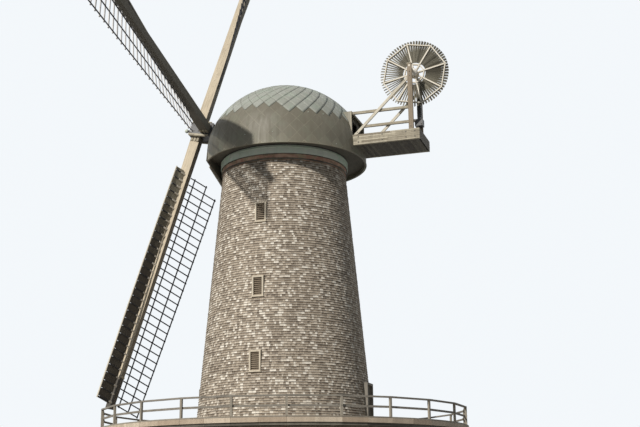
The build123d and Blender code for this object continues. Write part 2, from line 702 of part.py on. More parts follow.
def strip(edges, s_low, s_high, n_low, n_high, stations=4):
    """Long strip that follows the sail's twist; edges gives its two sides at a place along the sail."""
    sections = []
    for i in range(stations + 1):
        s = s_low + (s_high - s_low) * i / stations
        t_low, t_high = edges(s)
        section = ((t_low, n_low), (t_high, n_low), (t_high, n_high), (t_low, n_high))
        corners = [sail_point(s, t, n) for t, n in section]
        sections.append(make_face(Polyline(*corners, close=True)))
    return loft(sections, ruled=True)


def bar_places():
    return [FIRST_BAR + BAR_PITCH * i for i in range(BAR_COUNT)]


def sail_bars(i, spans):
    """A bar at each place along sail i, cut flush with the stock that it passes through."""
    place = Pos(0, bar_plane(i), 0)
    return [place * sail_bar(s, *span) - stock(i) for s, span in zip(bar_places(), spans)]


def lattice(i):
    """Bars and long laths of sail i on its trailing side, pointing up."""
    places = bar_places()
    reaches = [LATH_OFFSETS[1] if k < CLEAR_CORNER_BARS else LATH_OFFSETS[2] for k in range(BAR_COUNT)]
    pieces = sail_bars(i, [(0.0, reach + BAR_OVERHANG) for reach in reaches])
    near = BAR_DEPTH / 2 - LATH_OVERLAP
    for offset in LATH_OFFSETS:
        first = places[CLEAR_CORNER_BARS] if offset == LATH_OFFSETS[-1] else places[0]
        lath = strip(lambda s: (offset - LATH_WIDTH / 2, offset + LATH_WIDTH / 2), first - LATH_OVERHANG,
                     places[-1] + LATH_OVERHANG, near, near + LATH_DEPTH)
        pieces.append(Pos(0, bar_plane(i), 0) * lath)
    return pieces[0].fuse(*pieces[1:])


def board_edges(s):
    """Sides of the leading board, which widens and closes up to the stock towards the tip."""
    inner = BOARD_ROOT_INNER + (BOARD_TIP_INNER - BOARD_ROOT_INNER) * share_out(s)
    width = BOARD_ROOT_WIDTH + (BOARD_TIP_WIDTH - BOARD_ROOT_WIDTH) * share_out(s)
    return -(inner + width), -inner


def windboard(i):
    """Leading board of sail i on the short ends of the bars."""
    places = bar_places()
    near = -BAR_DEPTH / 2 + LATH_OVERLAP
    board = strip(board_edges, places[0] - BOARD_ROOT_OVERHANG, places[-1] + BOARD_TIP_OVERHANG,
                  near - BOARD_THICKNESS, near, BOARD_LENGTHS)
    edges = [board_edges(s) for s in places]
    stubs = sail_bars(i, [(inner + (outer - inner) * STUB_COVER, 0.0) for outer, inner in edges])
    return (Pos(0, bar_plane(i), 0) * board).fuse(*stubs)


# Fantail wheel, modelled in its own plane with the axle along its Z
def fan_place():
    """Frame of the wheel at rest, with a corner a little above level."""
    return Pos(0, FAN_POST_Y, FAN_AXLE_Z) * Rot(0, 90, 0) * Rot(0, 0, FAN_PHASE)


def fan_octagon(radius):
    """Frame of straight bars with its corners on the spokes."""
    outer = RegularPolygon(radius + FAN_RING_BAR / 2, FAN_SPOKES)
    return extrude(outer - RegularPolygon(radius - FAN_RING_BAR / 2, FAN_SPOKES), FAN_FRAME_DEPTH / 2, both=True)


def fan_frame(slats):
    """Two octagons and the spokes, fitted round the hub and slotted for the slats."""
    length = FAN_RING_R - FAN_HUB_R + FAN_RING_BAR / 2
    spoke = Pos(FAN_HUB_R + length / 2, 0, 0) * Box(length, FAN_SPOKE, FAN_FRAME_DEPTH)
    wheel = fan_octagon(FAN_RING_R).fuse(fan_octagon(FAN_INNER_R), *around(spoke, FAN_SPOKES))
    return wheel - Cylinder(FAN_HUB_R, FAN_HUB_LENGTH) - slats


def fan_axle():
    """Axle with its broad hub, running in both bearings."""
    return fan_place() * (Cylinder(FAN_AXLE_R, 2 * STAGE_HALF_WIDTH) + Cylinder(FAN_HUB_R, FAN_HUB_LENGTH))


def fan_slats():
    """Narrow pitched slats between the spokes, through the bars of the outer octagon."""
    r_in = FAN_INNER_R + SLAT_INSET
    slat = Pos((r_in + FAN_TIP_R) / 2, 0, 0) * Rot(SLAT_PITCH, 0, 0)
    slat = slat * Box(FAN_TIP_R - r_in, SLAT_WIDTH, SLAT_THICKNESS)
    step = 360.0 / FAN_SPOKES / SLATS_PER_SECTOR
    return around(slat, FAN_SPOKES * SLATS_PER_SECTOR, step / 2)


def write(name, shapes):
    """Writes one node as a STEP file."""
    if not isinstance(shapes, (list, tuple)):
        shapes = [shapes]
    solids = [solid for shape in shapes for solid in shape.solids()]
    export_step(Compound(children=solids) if len(solids) > 1 else solids[0], f"parts/{name}.step")


def write_tower():
    write("foundations", foundations())
    for i, name in enumerate(("base_wall", "lower_wall", "middle_wall", "upper_wall")):
        write(name, wall_level(i))
    write("tower_floors", [boarded_floor(level) for level in FLOOR_LEVELS])
    write("window_frames", [window_frame(*place) for place in window_places()])
    write("window_louvres", [louvre_leaf(*place) for place in window_places()])
    write("door_frames", [door_frame(*place) for place in door_places()])
    write("door_leaves", [door_leaf(*place) for place in door_places()])
    write("frieze_band", frieze())
    write("curb_band", curb_band())
    write("curb_track", curb_track())


def write_gallery():
    write("gallery_deck", gallery_deck())
    write("gallery_rim", gallery_rim())
    write("gallery_bearers", gallery_bearers())
    write("gallery_ring_beam", gallery_ring_beam())
    write("gallery_posts", gallery_posts())
    write("rail_posts", rail_posts())
    write("gallery_rails", gallery_rails())


def write_cap():
    write("dome", dome())
    write("cap_front", cap_front())
    write("cap_soffit", soffit())
    write("cap_live_ring", live_ring())
    write("cap_floor", cap_floor())
    write("stage_beams", stage_beams())
    write("stage_deck", stage_deck())
    write("stage_porch", porch())
    write("rear_wall", rear_wall())
    write("fan_posts", fan_posts())
    write("fan_bearings", fan_bearings())
    write("fan_drive", fan_drive())
    write("fan_braces", fan_braces())
    write("stage_handrails", stage_handrails())
    write("shaft_beams", shaft_beams())


def write_sails():
    write("windshaft", windshaft())
    write("poll_end", poll_end())
    for first, name in enumerate(("outer", "inner")):
        frame, board = lattice(first), windboard(first)
        places = [shaft_place() * sail_turn(i) for i in (first, first + 2)]
        write(f"stock_{name}", places[0] * stock(first))
        write(f"sail_lattices_{name}", [place * frame for place in places])
        write(f"sail_windboards_{name}", [place * board for place in places])


def write_fantail():
    slats = fan_slats()
    write("fan_axle", fan_axle())
    write("fan_frame", fan_place() * fan_frame(slats))
    write("fan_slats", [fan_place() * slat for slat in slats])


write_tower()
write_gallery()
write_cap()
write_sails()
write_fantail()
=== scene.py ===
"""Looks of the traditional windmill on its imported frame: shingles, copper, boards, straps and bolts."""

from math import asin, atan2, cos, pi, radians, sin, sqrt, tan

import bmesh
import bpy
import numpy as np
from mathutils import Matrix, Vector


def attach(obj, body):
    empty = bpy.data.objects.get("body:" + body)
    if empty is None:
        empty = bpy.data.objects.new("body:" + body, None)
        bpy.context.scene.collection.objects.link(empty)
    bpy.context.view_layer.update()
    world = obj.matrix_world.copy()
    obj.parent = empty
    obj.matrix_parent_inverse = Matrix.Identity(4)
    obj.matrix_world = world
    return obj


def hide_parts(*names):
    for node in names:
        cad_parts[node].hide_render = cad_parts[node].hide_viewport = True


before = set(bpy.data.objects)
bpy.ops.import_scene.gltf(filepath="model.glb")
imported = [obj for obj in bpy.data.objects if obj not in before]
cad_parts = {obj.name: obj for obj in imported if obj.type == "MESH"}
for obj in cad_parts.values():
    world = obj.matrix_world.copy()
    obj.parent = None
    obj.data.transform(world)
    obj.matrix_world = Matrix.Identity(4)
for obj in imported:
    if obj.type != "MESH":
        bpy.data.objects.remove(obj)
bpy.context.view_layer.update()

# Sizes of the frame that the dressing follows, in metres and degrees
DECK, DECK_UNDER = 5.4, 5.34
WALL_TOP = DECK + 12.68
FOUNDATION_TOP = 0.35
FLOORS = (FOUNDATION_TOP, DECK, DECK + 4.9, DECK + 8.5)
TOWER_R_GROUND, TOWER_R_TOP = 4.75, 3.11
WINDOW_WIDTH, WINDOW_HEIGHT = 0.56, 0.98
WINDOW_SILLS = (DECK + 2.35, DECK + 5.88, DECK + 9.55)
DOORS = ((90, DECK, 1.0, 2.05), (-90, DECK, 1.0, 2.05), (0, FOUNDATION_TOP, 1.3, 2.3))
DOOR_FRAME, LEAF_SET_BACK, LEAF_THICKNESS = 0.11, 0.12, 0.05
CURB_LOW = WALL_TOP + 0.32
CURB_HIGH = CURB_LOW + 0.33
CURB_R = TOWER_R_TOP + 0.11
DECK_R, RIM_WIDTH, RIM_DEPTH, RIM_SIDES = 8.84, 0.16, 0.32, 48
BAYS, BAY_START = 24, 5.0
RAIL_R, RAIL_POST, RAIL_TOP, RAIL_MID = 8.74, 0.095, DECK + 0.86, DECK + 0.42
CAP_R, CAP_Y = 4.1, 0.1
LIP = CURB_HIGH + 0.09 + 0.012 - 0.19
SPRING = LIP + 0.45
DOME_RISE, KNEE_R = 3.72, 3.3
FRONT_Y = -3.24
FRONT_FACE = FRONT_Y - 0.06
BEARD_HALF, BEARD_DROP = 2.4, 0.75
STAGE_HALF, STAGE_END, STAGE_LOW, STAGE_HIGH = 1.17, 7.38, DECK + 13.64, DECK + 14.18
BEAM_WIDTH = 0.15
STAGE_INNER = STAGE_HALF - BEAM_WIDTH
PORCH_Y, PORCH_TOP = 3.95, DECK + 15.43
FAN_Y, FAN_Z, FAN_PHASE, FAN_DEPTH = 6.97, DECK + 17.48, 11.6, 0.14
FAN_BEARING, FAN_HUB_R, FAN_HUB_LENGTH, FAN_SLATS = 0.2, 0.19, 0.46, 72
POLL_SIZE, POLL_LENGTH, BALL_AT, BALL_R = 0.8, 1.25, 1.0, 0.108
HUB = Vector((0, -4.543, DECK + 15.651))
TILT, PHASE = radians(11), 13.6
SAIL_R, FIRST_BAR, BAR_PITCH, BARS, BAR_PLANE = 15.4, 2.7, 0.401, 32, 0.05
STOCK_ROOT, STOCK_TIP, STOCK_DEEP, STOCK_SHALLOW, STOCK_STRAIGHT = 0.4, 0.29, 0.52, 0.31, 0.9
ROOT_WEATHER, TIP_WEATHER = 30.6, 11.5
BAR_END_ROOT, BAR_END_TIP = 0.5, 0.38
BOARD_WIDE_ROOT, BOARD_WIDE_TIP = 0.34, 0.84
TIP_PAINT = 13.85
STILL = Matrix.Identity(4)


def tower_r(z):
    """Outer radius of the wall under the shingles."""
    return TOWER_R_GROUND + (TOWER_R_TOP - TOWER_R_GROUND) * z / WALL_TOP


def sail_matrix(i):
    """Place of sail i: its Z runs out along the stock, its -Y out along the windshaft."""
    turn = Matrix.Rotation(radians(180 - PHASE + 90 * i), 4, "Y")
    return Matrix.Translation(HUB) @ Matrix.Rotation(-TILT, 4, "X") @ turn


# Nodes of the materials
def fill(tree, socket, value):
    """Links an input or sets it; a colour comes without its alpha."""
    if isinstance(value, bpy.types.NodeSocket):
        tree.links.new(value, socket)
    elif socket.type == "RGBA":
        socket.default_value = (*value, 1)
    else:
        socket.default_value = value


def add(tree, kind, links=None, **settings):
    """Adds a shader node, sets its options and fills its inputs."""
    made = tree.nodes.new("ShaderNode" + kind)
    for key, value in settings.items():
        setattr(made, key, value)
    for key, value in (links or {}).items():
        fill(tree, made.inputs[key], value)
    return made


def calc(tree, operation, a, b=0.0):
    """One step of arithmetic on two values."""
    return add(tree, "Math", {0: a, 1: b}, operation=operation).outputs[0]


def scaled(tree, value, share):
    """A value times a share."""
    return calc(tree, "MULTIPLY", value, share)


def span(tree, value, low, high, to_low=0.0, to_high=1.0):
    """A value taken from one range to another and held inside it."""
    links = {"Value": value, "From Min": low, "From Max": high, "To Min": to_low, "To Max": to_high}
    return add(tree, "MapRange", links).outputs[0]


def noise(tree, vector, scale, detail=3.0, roughness=0.55):
    """Cloudy noise about its middle value of a half."""
    links = {"Vector": vector, "Scale": scale, "Detail": detail, "Roughness": roughness}
    return add(tree, "TexNoise", links).outputs["Fac"]


def stretch(tree, vector, factors):
    """A place with each of its axes scaled by itself."""
    return add(tree, "VectorMath", {0: vector, 1: factors}, operation="MULTIPLY").outputs[0]


def split(tree, vector):
    """The three parts of a vector."""
    return add(tree, "SeparateXYZ", {0: vector}).outputs


def blend(tree, share, a, b):
    """Colour between a and b."""
    return add(tree, "Mix", {0: share, 6: a, 7: b}, data_type="RGBA").outputs[2]


def new_group(name, inputs, outputs):
    """A shader node group with its named sockets."""
    tree = bpy.data.node_groups.new(name, "ShaderNodeTree")
    kinds = {"v": "NodeSocketVector", "c": "NodeSocketColor", "f": "NodeSocketFloat"}
    for label, kind in inputs:
        tree.interface.new_socket(label, in_out="INPUT", socket_type=kinds[kind])
    for label, kind in outputs:
        tree.interface.new_socket(label, in_out="OUTPUT", socket_type=kinds[kind])
    return tree, tree.nodes.new("NodeGroupInput").outputs, tree.nodes.new("NodeGroupOutput")


def old_timber_group():
    """Weathered wood: the grain runs along the X of the place that it is given."""
    tree, given, out = new_group("old_timber", [("Place", "v"), ("Pale", "c"), ("Dark", "c"), ("Tone", "f")],
                                 [("Color", "c"), ("Height", "f")])
    grain = noise(tree, stretch(tree, given["Place"], (0.5, 9, 9)), 3.0, 5.0, 0.6)
    fine = noise(tree, stretch(tree, given["Place"], (1.5, 70, 70)), 1.0, 3.0)
    cloud = noise(tree, given["Place"], 0.9, 3.0)
    lines = noise(tree, stretch(tree, given["Place"], (0.4, 24, 24)), 1.0)
    crack = span(tree, calc(tree, "ABSOLUTE", calc(tree, "SUBTRACT", lines, 0.5)), 0.0, 0.018, 1.0, 0.0)
    shade = calc(tree, "ADD", scaled(tree, grain, 0.4), scaled(tree, fine, 0.25))
    shade = calc(tree, "ADD", shade, scaled(tree, cloud, 0.35))
    shade = calc(tree, "ADD", shade, scaled(tree, calc(tree, "SUBTRACT", given["Tone"], 0.5), 0.45))
    colour = blend(tree, span(tree, shade, 0.28, 0.72), given["Dark"], given["Pale"])
    colour = blend(tree, scaled(tree, crack, 0.55), colour, (0.03, 0.025, 0.02))
    tree.links.new(colour, out.inputs["Color"])
    tree.links.new(calc(tree, "SUBTRACT", calc(tree, "ADD", grain, fine), crack), out.inputs["Height"])
    return tree


def rain_group():
    """Marks that rain leaves down a wall or a sheet, and the clouding of old surfaces."""
    tree, given, out = new_group("rain_marks", [("Place", "v")],
                                 [("Streaks", "f"), ("Clouds", "f"), ("Specks", "f")])
    streaks = noise(tree, stretch(tree, given["Place"], (5.0, 5.0, 0.35)), 1.0, 4.0, 0.6)
    tree.links.new(span(tree, streaks, 0.35, 0.68), out.inputs["Streaks"])
    tree.links.new(span(tree, noise(tree, given["Place"], 0.45, 4.0, 0.6), 0.35, 0.65), out.inputs["Clouds"])
    tree.links.new(span(tree, noise(tree, given["Place"], 28.0, 2.0), 0.6, 0.75), out.inputs["Specks"])
    return tree


OLD_TIMBER = old_timber_group()
RAIN = rain_group()


def use(tree, group, **links):
    """Places a group in a material and fills its inputs."""
    made = add(tree, "Group", node_tree=group)
    for label, value in links.items():
        fill(tree, made.inputs[label], value)
    return made.outputs


def new_material(name, roughness, metallic=0.0):
    """A material with its node tree, its shader and the place on the object."""
    material = bpy.data.materials.new(name)
    material.use_nodes = True
    tree = material.node_tree
    shader = tree.nodes["Principled BSDF"]
    shader.inputs["Roughness"].default_value = roughness
    shader.inputs["Metallic"].default_value = metallic
    return material, tree, shader, add(tree, "TexCoord").outputs["Object"]


def surface(material, tree, shader, colour, height, distance, strength=0.6):
    """Gives a shader its colour and its fine relief, and returns the material."""
    tree.links.new(colour, shader.inputs["Base Color"])
    bump = add(tree, "Bump", {"Height": height, "Distance": distance, "Strength": strength})
    tree.links.new(bump.outputs[0], shader.inputs["Normal"])
    return material


def piece_tone(tree):
    """The tone that each board, shingle or sheet has of its own."""
    return add(tree, "Attribute", attribute_name="tone").outputs["Fac"]


def along(tree, place, direction):
    """Turns the place so that its X runs along a direction of the frame."""
    turn = Vector(direction).to_track_quat("X", "Z").inverted().to_euler()
    return add(tree, "Mapping", {"Vector": place, "Rotation": tuple(turn)}).outputs[0]


def timber_material(name, pale, dark, direction=(0, 0, 1), toned=False, rain=0.35, tone_share=1.0):
    """Old timber with its grain along a direction; toned timber also takes the tone of each board."""
    material, tree, shader, place = new_material(name, 0.85)
    tone = 0.5
    if toned:
        tone = calc(tree, "ADD", scaled(tree, piece_tone(tree), tone_share), 0.5 - 0.5 * tone_share)
    wood = use(tree, OLD_TIMBER, Place=along(tree, place, direction), Pale=pale, Dark=dark, Tone=tone)
    streaks = use(tree, RAIN, Place=place)["Streaks"]
    colour = blend(tree, scaled(tree, streaks, rain), wood["Color"], [c * 0.55 for c in dark])
    return surface(material, tree, shader, colour, wood["Height"], 0.004)


def shingle_material():
    """Split shingles, silvered by the weather, each with a tone of its own, painted shade near its top and a
    painted highlight on its butt.
    """
    material, tree, shader, place = new_material("silvered_shingles", 0.9)
    bleached_and_butt_highlight = (0.88, 0.83, 0.73)
    tone = piece_tone(tree)
    wood = use(tree, OLD_TIMBER, Place=along(tree, place, (0, 0, 1)), Pale=(0.54, 0.46, 0.36),
               Dark=(0.21, 0.165, 0.12), Tone=tone)
    marks = use(tree, RAIN, Place=place)
    colour = blend(tree, scaled(tree, span(tree, tone, 0.74, 0.95), 0.8), wood["Color"], bleached_and_butt_highlight)
    colour = blend(tree, scaled(tree, span(tree, tone, 0.26, 0.05), 0.7), colour, (0.115, 0.085, 0.06))
    colour = blend(tree, scaled(tree, marks["Streaks"], 0.14), colour, (0.20, 0.165, 0.125))
    colour = blend(tree, scaled(tree, marks["Clouds"], 0.12), colour, (0.40, 0.30, 0.19))
    rise = add(tree, "Attribute", attribute_name="rise").outputs["Fac"]
    # Painted shade: each shingle darkens towards its top, where the butt of the course above would shade it.
    butt_shadow_reach = calc(tree, "ADD", rise, scaled(tree, noise(tree, place, 6.0), 0.3))
    colour = blend(tree, span(tree, butt_shadow_reach, 0.62, 0.95, 0.0, 0.8), colour, (0.05, 0.038, 0.03))
    # Painted highlight: the butt of each shingle is paled as if lit.
    colour = blend(tree, span(tree, rise, 0.0, 0.3, 0.42, 0.0), colour, bleached_and_butt_highlight)
    return surface(material, tree, shader, colour, wood["Height"], 0.003)


def copper_material(name, base, pale, green, green_share, seam_share):
    """Patinated copper; its seams follow the map named sheet and are dark where their share is below 0."""
    material, tree, shader, place = new_material(name, 0.62)
    marks = use(tree, RAIN, Place=place)
    uv = split(tree, add(tree, "UVMap", uv_map="sheet").outputs[0])
    wander = scaled(tree, noise(tree, place, 9.0), 0.05)
    edge = calc(tree, "SUBTRACT", calc(tree, "MINIMUM", uv[0], uv[1]), wander)
    seam = span(tree, edge, 0.0, 0.06, 1.0, 0.0)
    broken = calc(tree, "MULTIPLY", seam, span(tree, noise(tree, place, 2.3), 0.35, 0.6))
    shade = calc(tree, "ADD", scaled(tree, marks["Clouds"], 0.6), scaled(tree, piece_tone(tree), 0.4))
    colour = blend(tree, shade, base, pale)
    colour = blend(tree, scaled(tree, marks["Streaks"], 0.3), colour, [c * 0.78 for c in base])
    patina = span(tree, noise(tree, place, 1.7), 0.5, 0.66)
    colour = blend(tree, scaled(tree, patina, green_share), colour, green)
    line = [min(1.0, c * 1.5) for c in pale] if seam_share > 0 else [c * 0.55 for c in base]
    colour = blend(tree, scaled(tree, broken, abs(seam_share)), colour, line)
    tree.links.new(span(tree, marks["Streaks"], 0.0, 1.0, 0.5, 0.7), shader.inputs["Roughness"])
    return surface(material, tree, shader, colour, noise(tree, place, 3.0, 4.0), 0.01, 0.5)


def iron_material():
    """Dark painted iron with rust at its worn places."""
    material, tree, shader, place = new_material("old_iron", 0.7, 0.1)
    rust = span(tree, noise(tree, place, 7.0, 5.0, 0.65), 0.52, 0.66)
    colour = blend(tree, scaled(tree, rust, 0.4), (0.036, 0.036, 0.037), (0.085, 0.06, 0.042))
    tree.links.new(span(tree, rust, 0.0, 1.0, 0.45, 0.85), shader.inputs["Roughness"])
    return surface(material, tree, shader, colour, noise(tree, place, 40.0, 3.0), 0.002)


def frieze_material():
    """Red-brown paint that has flaked off the boards in places."""
    material, tree, shader, place = new_material("flaked_red_paint", 0.8)
    wood = use(tree, OLD_TIMBER, Place=along(tree, place, (0, 0, 1)), Pale=(0.52, 0.41, 0.27),
               Dark=(0.24, 0.17, 0.11), Tone=piece_tone(tree))
    flaked = span(tree, noise(tree, stretch(tree, place, (1.6, 1.6, 5.0)), 1.0, 5.0, 0.65), 0.46, 0.56)
    fading = span(tree, noise(tree, place, 2.2), 0.4, 0.6)
    paint = blend(tree, fading, (0.44, 0.23, 0.17), (0.62, 0.42, 0.30))
    colour = blend(tree, flaked, paint, wood["Color"])
    return surface(material, tree, shader, colour, calc(tree, "SUBTRACT", wood["Height"], flaked), 0.003)


def stock_material(name, i, under):
    """Pale stock timber with dark tips; what faces down or back is darkened as painted shade, as far as the
    share named under.
    """
    direction = sail_matrix(i).to_3x3() @ Vector((0, 0, 1))
    material, tree, shader, place = new_material(name, 0.8)
    wood = use(tree, OLD_TIMBER, Place=along(tree, place, direction), Pale=(0.70, 0.61, 0.46),
               Dark=(0.40, 0.33, 0.235), Tone=0.55)
    away = add(tree, "VectorMath", {0: place, 1: tuple(HUB)}, operation="SUBTRACT").outputs[0]
    reach = add(tree, "VectorMath", {0: away, 1: tuple(direction)}, operation="DOT_PRODUCT").outputs["Value"]
    tip = span(tree, calc(tree, "ABSOLUTE", reach), TIP_PAINT, TIP_PAINT + 0.04)
    # Painted shade: faces that look down or towards +Y, away from the sun, are darkened as if in shadow.
    facing = split(tree, add(tree, "TexCoord").outputs["Normal"])
    low = calc(tree, "MAXIMUM", span(tree, facing[2], 0.05, -0.25), span(tree, facing[1], 0.3, 0.8))
    colour = blend(tree, scaled(tree, low, under), wood["Color"], (0.10, 0.095, 0.08))
    colour = blend(tree, tip, colour, (0.085, 0.075, 0.062))
    return surface(material, tree, shader, colour, wood["Height"], 0.004)


def slat_material():
    """Fan slats: each takes a tone from its place round the wheel."""
    material, tree, shader, place = new_material("fan_slat_timber", 0.8)
    part = split(tree, place)
    up, back = calc(tree, "SUBTRACT", part[2], FAN_Z), calc(tree, "SUBTRACT", part[1], FAN_Y)
    turn = calc(tree, "ARCTAN2", up, back)
    turn = calc(tree, "SUBTRACT", turn, radians(FAN_PHASE))
    index = calc(tree, "FLOOR", scaled(tree, turn, FAN_SLATS / (2 * pi)))
    tone = add(tree, "TexWhiteNoise", {"W": index}, noise_dimensions="1D").outputs["Value"]
    wood = use(tree, OLD_TIMBER, Place=place, Pale=(0.30, 0.28, 0.215), Dark=(0.12, 0.108, 0.08), Tone=tone)
    return surface(material, tree, shader, wood["Color"], wood["Height"], 0.003)


def concrete_material():
    """Rough grey concrete with clouds and dark specks."""
    material, tree, shader, place = new_material("rough_concrete", 0.95)
    marks = use(tree, RAIN, Place=place)
    colour = blend(tree, marks["Clouds"], (0.36, 0.345, 0.32), (0.46, 0.44, 0.40))
    colour = blend(tree, scaled(tree, marks["Specks"], 0.5), colour, (0.24, 0.22, 0.20))
    return surface(material, tree, shader, colour, noise(tree, place, 35.0, 4.0), 0.003)


# Meshes of the dressing
def put(name, data):
    """Puts an object of some data in the scene."""
    obj = bpy.data.objects.new(name, data)
    bpy.context.scene.collection.objects.link(obj)
    return obj


def skirt(n, ring=0):
    """Faces between one ring of n points and the next."""
    low, high = ring * n, ring * n + n
    return [(low + i, low + (i + 1) % n, high + (i + 1) % n, high + i) for i in range(n)]


def polar(r, angle):
    """Place at a radius and an angle."""
    return r * cos(angle), r * sin(angle)


class Piece:
    """Points and faces of one piece of the dressing, with a tone for each face."""

    def __init__(self):
        self.points, self.faces, self.tones, self.rises = [], [], [], []

    def add(self, points, faces, tone, rises=()):
        """Adds a closed or open shell; rises say how far up a shingle each point is."""
        first = len(self.points)
        self.points += [tuple(p) for p in points]
        self.rises += rises
        self.faces += [tuple(first + i for i in face) for face in faces]
        self.tones += [tone] * len(faces)

    def prism(self, bottom, top, tone):
        """Solid between two outlines with the same number of corners."""
        n = len(bottom)
        self.add([*bottom, *top], [tuple(reversed(range(n))), tuple(range(n, 2 * n)), *skirt(n)], tone)

    def box(self, place, low, high, tone):
        """Box between two corners, set by a matrix."""
        flat = [(low[0], low[1]), (high[0], low[1]), (high[0], high[1]), (low[0], high[1])]
        bottom, top = [[place @ Vector((*p, z)) for p in flat] for z in (low[2], high[2])]
        self.prism(bottom, top, tone)

    def bolt(self, at, out, radius, height, tone=0.5):
        """Round-headed bolt standing on a face."""
        turn = Matrix.Translation(at) @ Vector(out).to_track_quat("Z", "Y").to_matrix().to_4x4()
        rings = [(radius, 0.0), (radius, height * 0.55), (radius * 0.6, height)]
        points = [turn @ Vector((*polar(r, a * pi / 4), z)) for r, z in rings for a in range(8)]
        self.add(points, [*skirt(8, 0), *skirt(8, 1), tuple(range(16, 24))], tone)

    def make(self, name, material, body, slot, replaces=(), bevel=0.0, smooth=False):
        """Makes the object, sets it on its body and hides the nodes that it stands for."""
        mesh = bpy.data.meshes.new(name)
        mesh.from_pydata(self.points, [], self.faces)
        for label, domain, values in (("tone", "FACE", self.tones), ("rise", "POINT", self.rises)):
            if values:
                layer = mesh.attributes.new(label, "FLOAT", domain)
                layer.data.foreach_set("value", np.array(values, np.float32))
        mesh.update()
        mesh.materials.append(material)
        mesh.polygons.foreach_set("use_smooth", [smooth] * len(self.faces))
        obj = put(name, mesh)
        if bevel:
            worn = obj.modifiers.new("worn_edges", "BEVEL")
            worn.width, worn.segments, worn.limit_method, worn.angle_limit = bevel, 1, "ANGLE", radians(50)
        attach(obj, body)
        if replaces:
            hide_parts(*replaces)


def around(angle):
    """Turn about the tower's axis by an angle in degrees."""
    return Matrix.Rotation(radians(angle), 4, "Z")


def clip(outline, normal, distance):
    """Part of a flat outline on the near side of a line."""
    kept = []
    for a, b in zip(outline, outline[1:] + outline[:1]):
        da, db = [p[0] * normal[0] + p[1] * normal[1] - distance for p in (a, b)]
        if da <= 0:
            kept.append(a)
        if (da < 0 < db) or (db < 0 < da):
            share = da / (da - db)
            kept.append((a[0] + (b[0] - a[0]) * share, a[1] + (b[1] - a[1]) * share))
    return kept


# Tower
COURSE, SHINGLE_WIDTH, SHINGLE_LAP = 0.1158, 0.125, 0.02
SHINGLE_PROUD, SHINGLE_SPREAD, SHINGLE_GAP = 0.024, 0.018, 0.0014
LEAST_WIDE, LEAST_HIGH = 0.003, 0.02
DOOR_BOARD, STRAP, STRAP_HALF = 0.13, 0.008, 0.03
FRIEZE_BOARDS, CURB_SHEETS = 26, 30


def opening_spans():
    """Angle, half width, sill and head of each window and door."""
    sides = [(sill, side) for sill in WINDOW_SILLS for side in (0.0, pi)]
    spans = [(side, WINDOW_WIDTH / 2, sill, sill + WINDOW_HEIGHT) for sill, side in sides]
    return spans + [(radians(side), width / 2, sill, sill + height) for side, sill, width, height in DOORS]


def trim_shingle(a0, a1, z0, z1, spans):
    """Parts of a shingle that lie outside the windows and doors."""
    for side, half, sill, head in spans:
        if z0 >= head or z1 <= sill:
            continue
        reach = asin(half / tower_r(z0))
        middle = side + 2 * pi * round(((a0 + a1) / 2 - side) / (2 * pi))
        low, high = middle - reach, middle + reach
        if a1 <= low or a0 >= high:
            continue
        inner = max(a0, low), min(a1, high)
        parts = [(a0, low, z0, z1), (high, a1, z0, z1), (*inner, z0, sill), (*inner, head, z1)]
        return [p for p in parts if p[1] - p[0] > LEAST_WIDE and p[3] - p[2] > LEAST_HIGH]
    return [(a0, a1, z0, z1)]


def shingles(name, z_low, z_high, seed):
    """Courses of split shingles with uneven widths, gaps and butts."""
    rng = np.random.default_rng(seed)
    piece, spans = Piece(), opening_spans()
    rows = round((z_high - z_low) / COURSE)
    step = (z_high - z_low) / rows
    for row in range(rows):
        level = z_low + row * step
        near = [s for s in spans if level - COURSE < s[3] and level + 2 * COURSE > s[2]]
        count = int(2 * pi * tower_r(level) / SHINGLE_WIDTH)
        ends = np.cumsum(rng.uniform(0.6, 1.5, count))
        ends = ends / ends[-1] * 2 * pi + rng.uniform(0, 2 * pi)
        butts = level + rng.uniform(-0.008, 0.008, count)
        prouds = SHINGLE_PROUD + rng.uniform(0.0, SHINGLE_SPREAD, count)
        tones = rng.uniform(0, 1, count)
        for k in range(count):
            a0, a1 = (ends[k - 1] if k else ends[-1] - 2 * pi), ends[k] - SHINGLE_GAP
            low, high = max(butts[k], z_low), min(level + step + SHINGLE_LAP, z_high)
            for b0, b1, z0, z1 in trim_shingle(a0, a1, low, high, near):
                tilt = 0.004 * (tones[k] - 0.5)
                butt, top = tower_r(z0) + prouds[k], tower_r(z1) + 0.006
                corners = [(butt + tilt, b0, z0), (butt - tilt, b1, z0), (top, b1, z1), (top, b0, z1),
                           (tower_r(z0), b0, z0), (tower_r(z0), b1, z0)]
                rise = (z1 - z0) / (step + SHINGLE_LAP)
                faces = [(0, 1, 2, 3), (4, 5, 1, 0), (4, 0, 3), (1, 5, 2)]
                piece.add([(*polar(r, a), z) for r, a, z in corners], faces, tones[k],
                          [0.0, 0.0, rise, rise, 0.0, 0.0])
    piece.make(name, SHINGLE, "tower", "shingle")


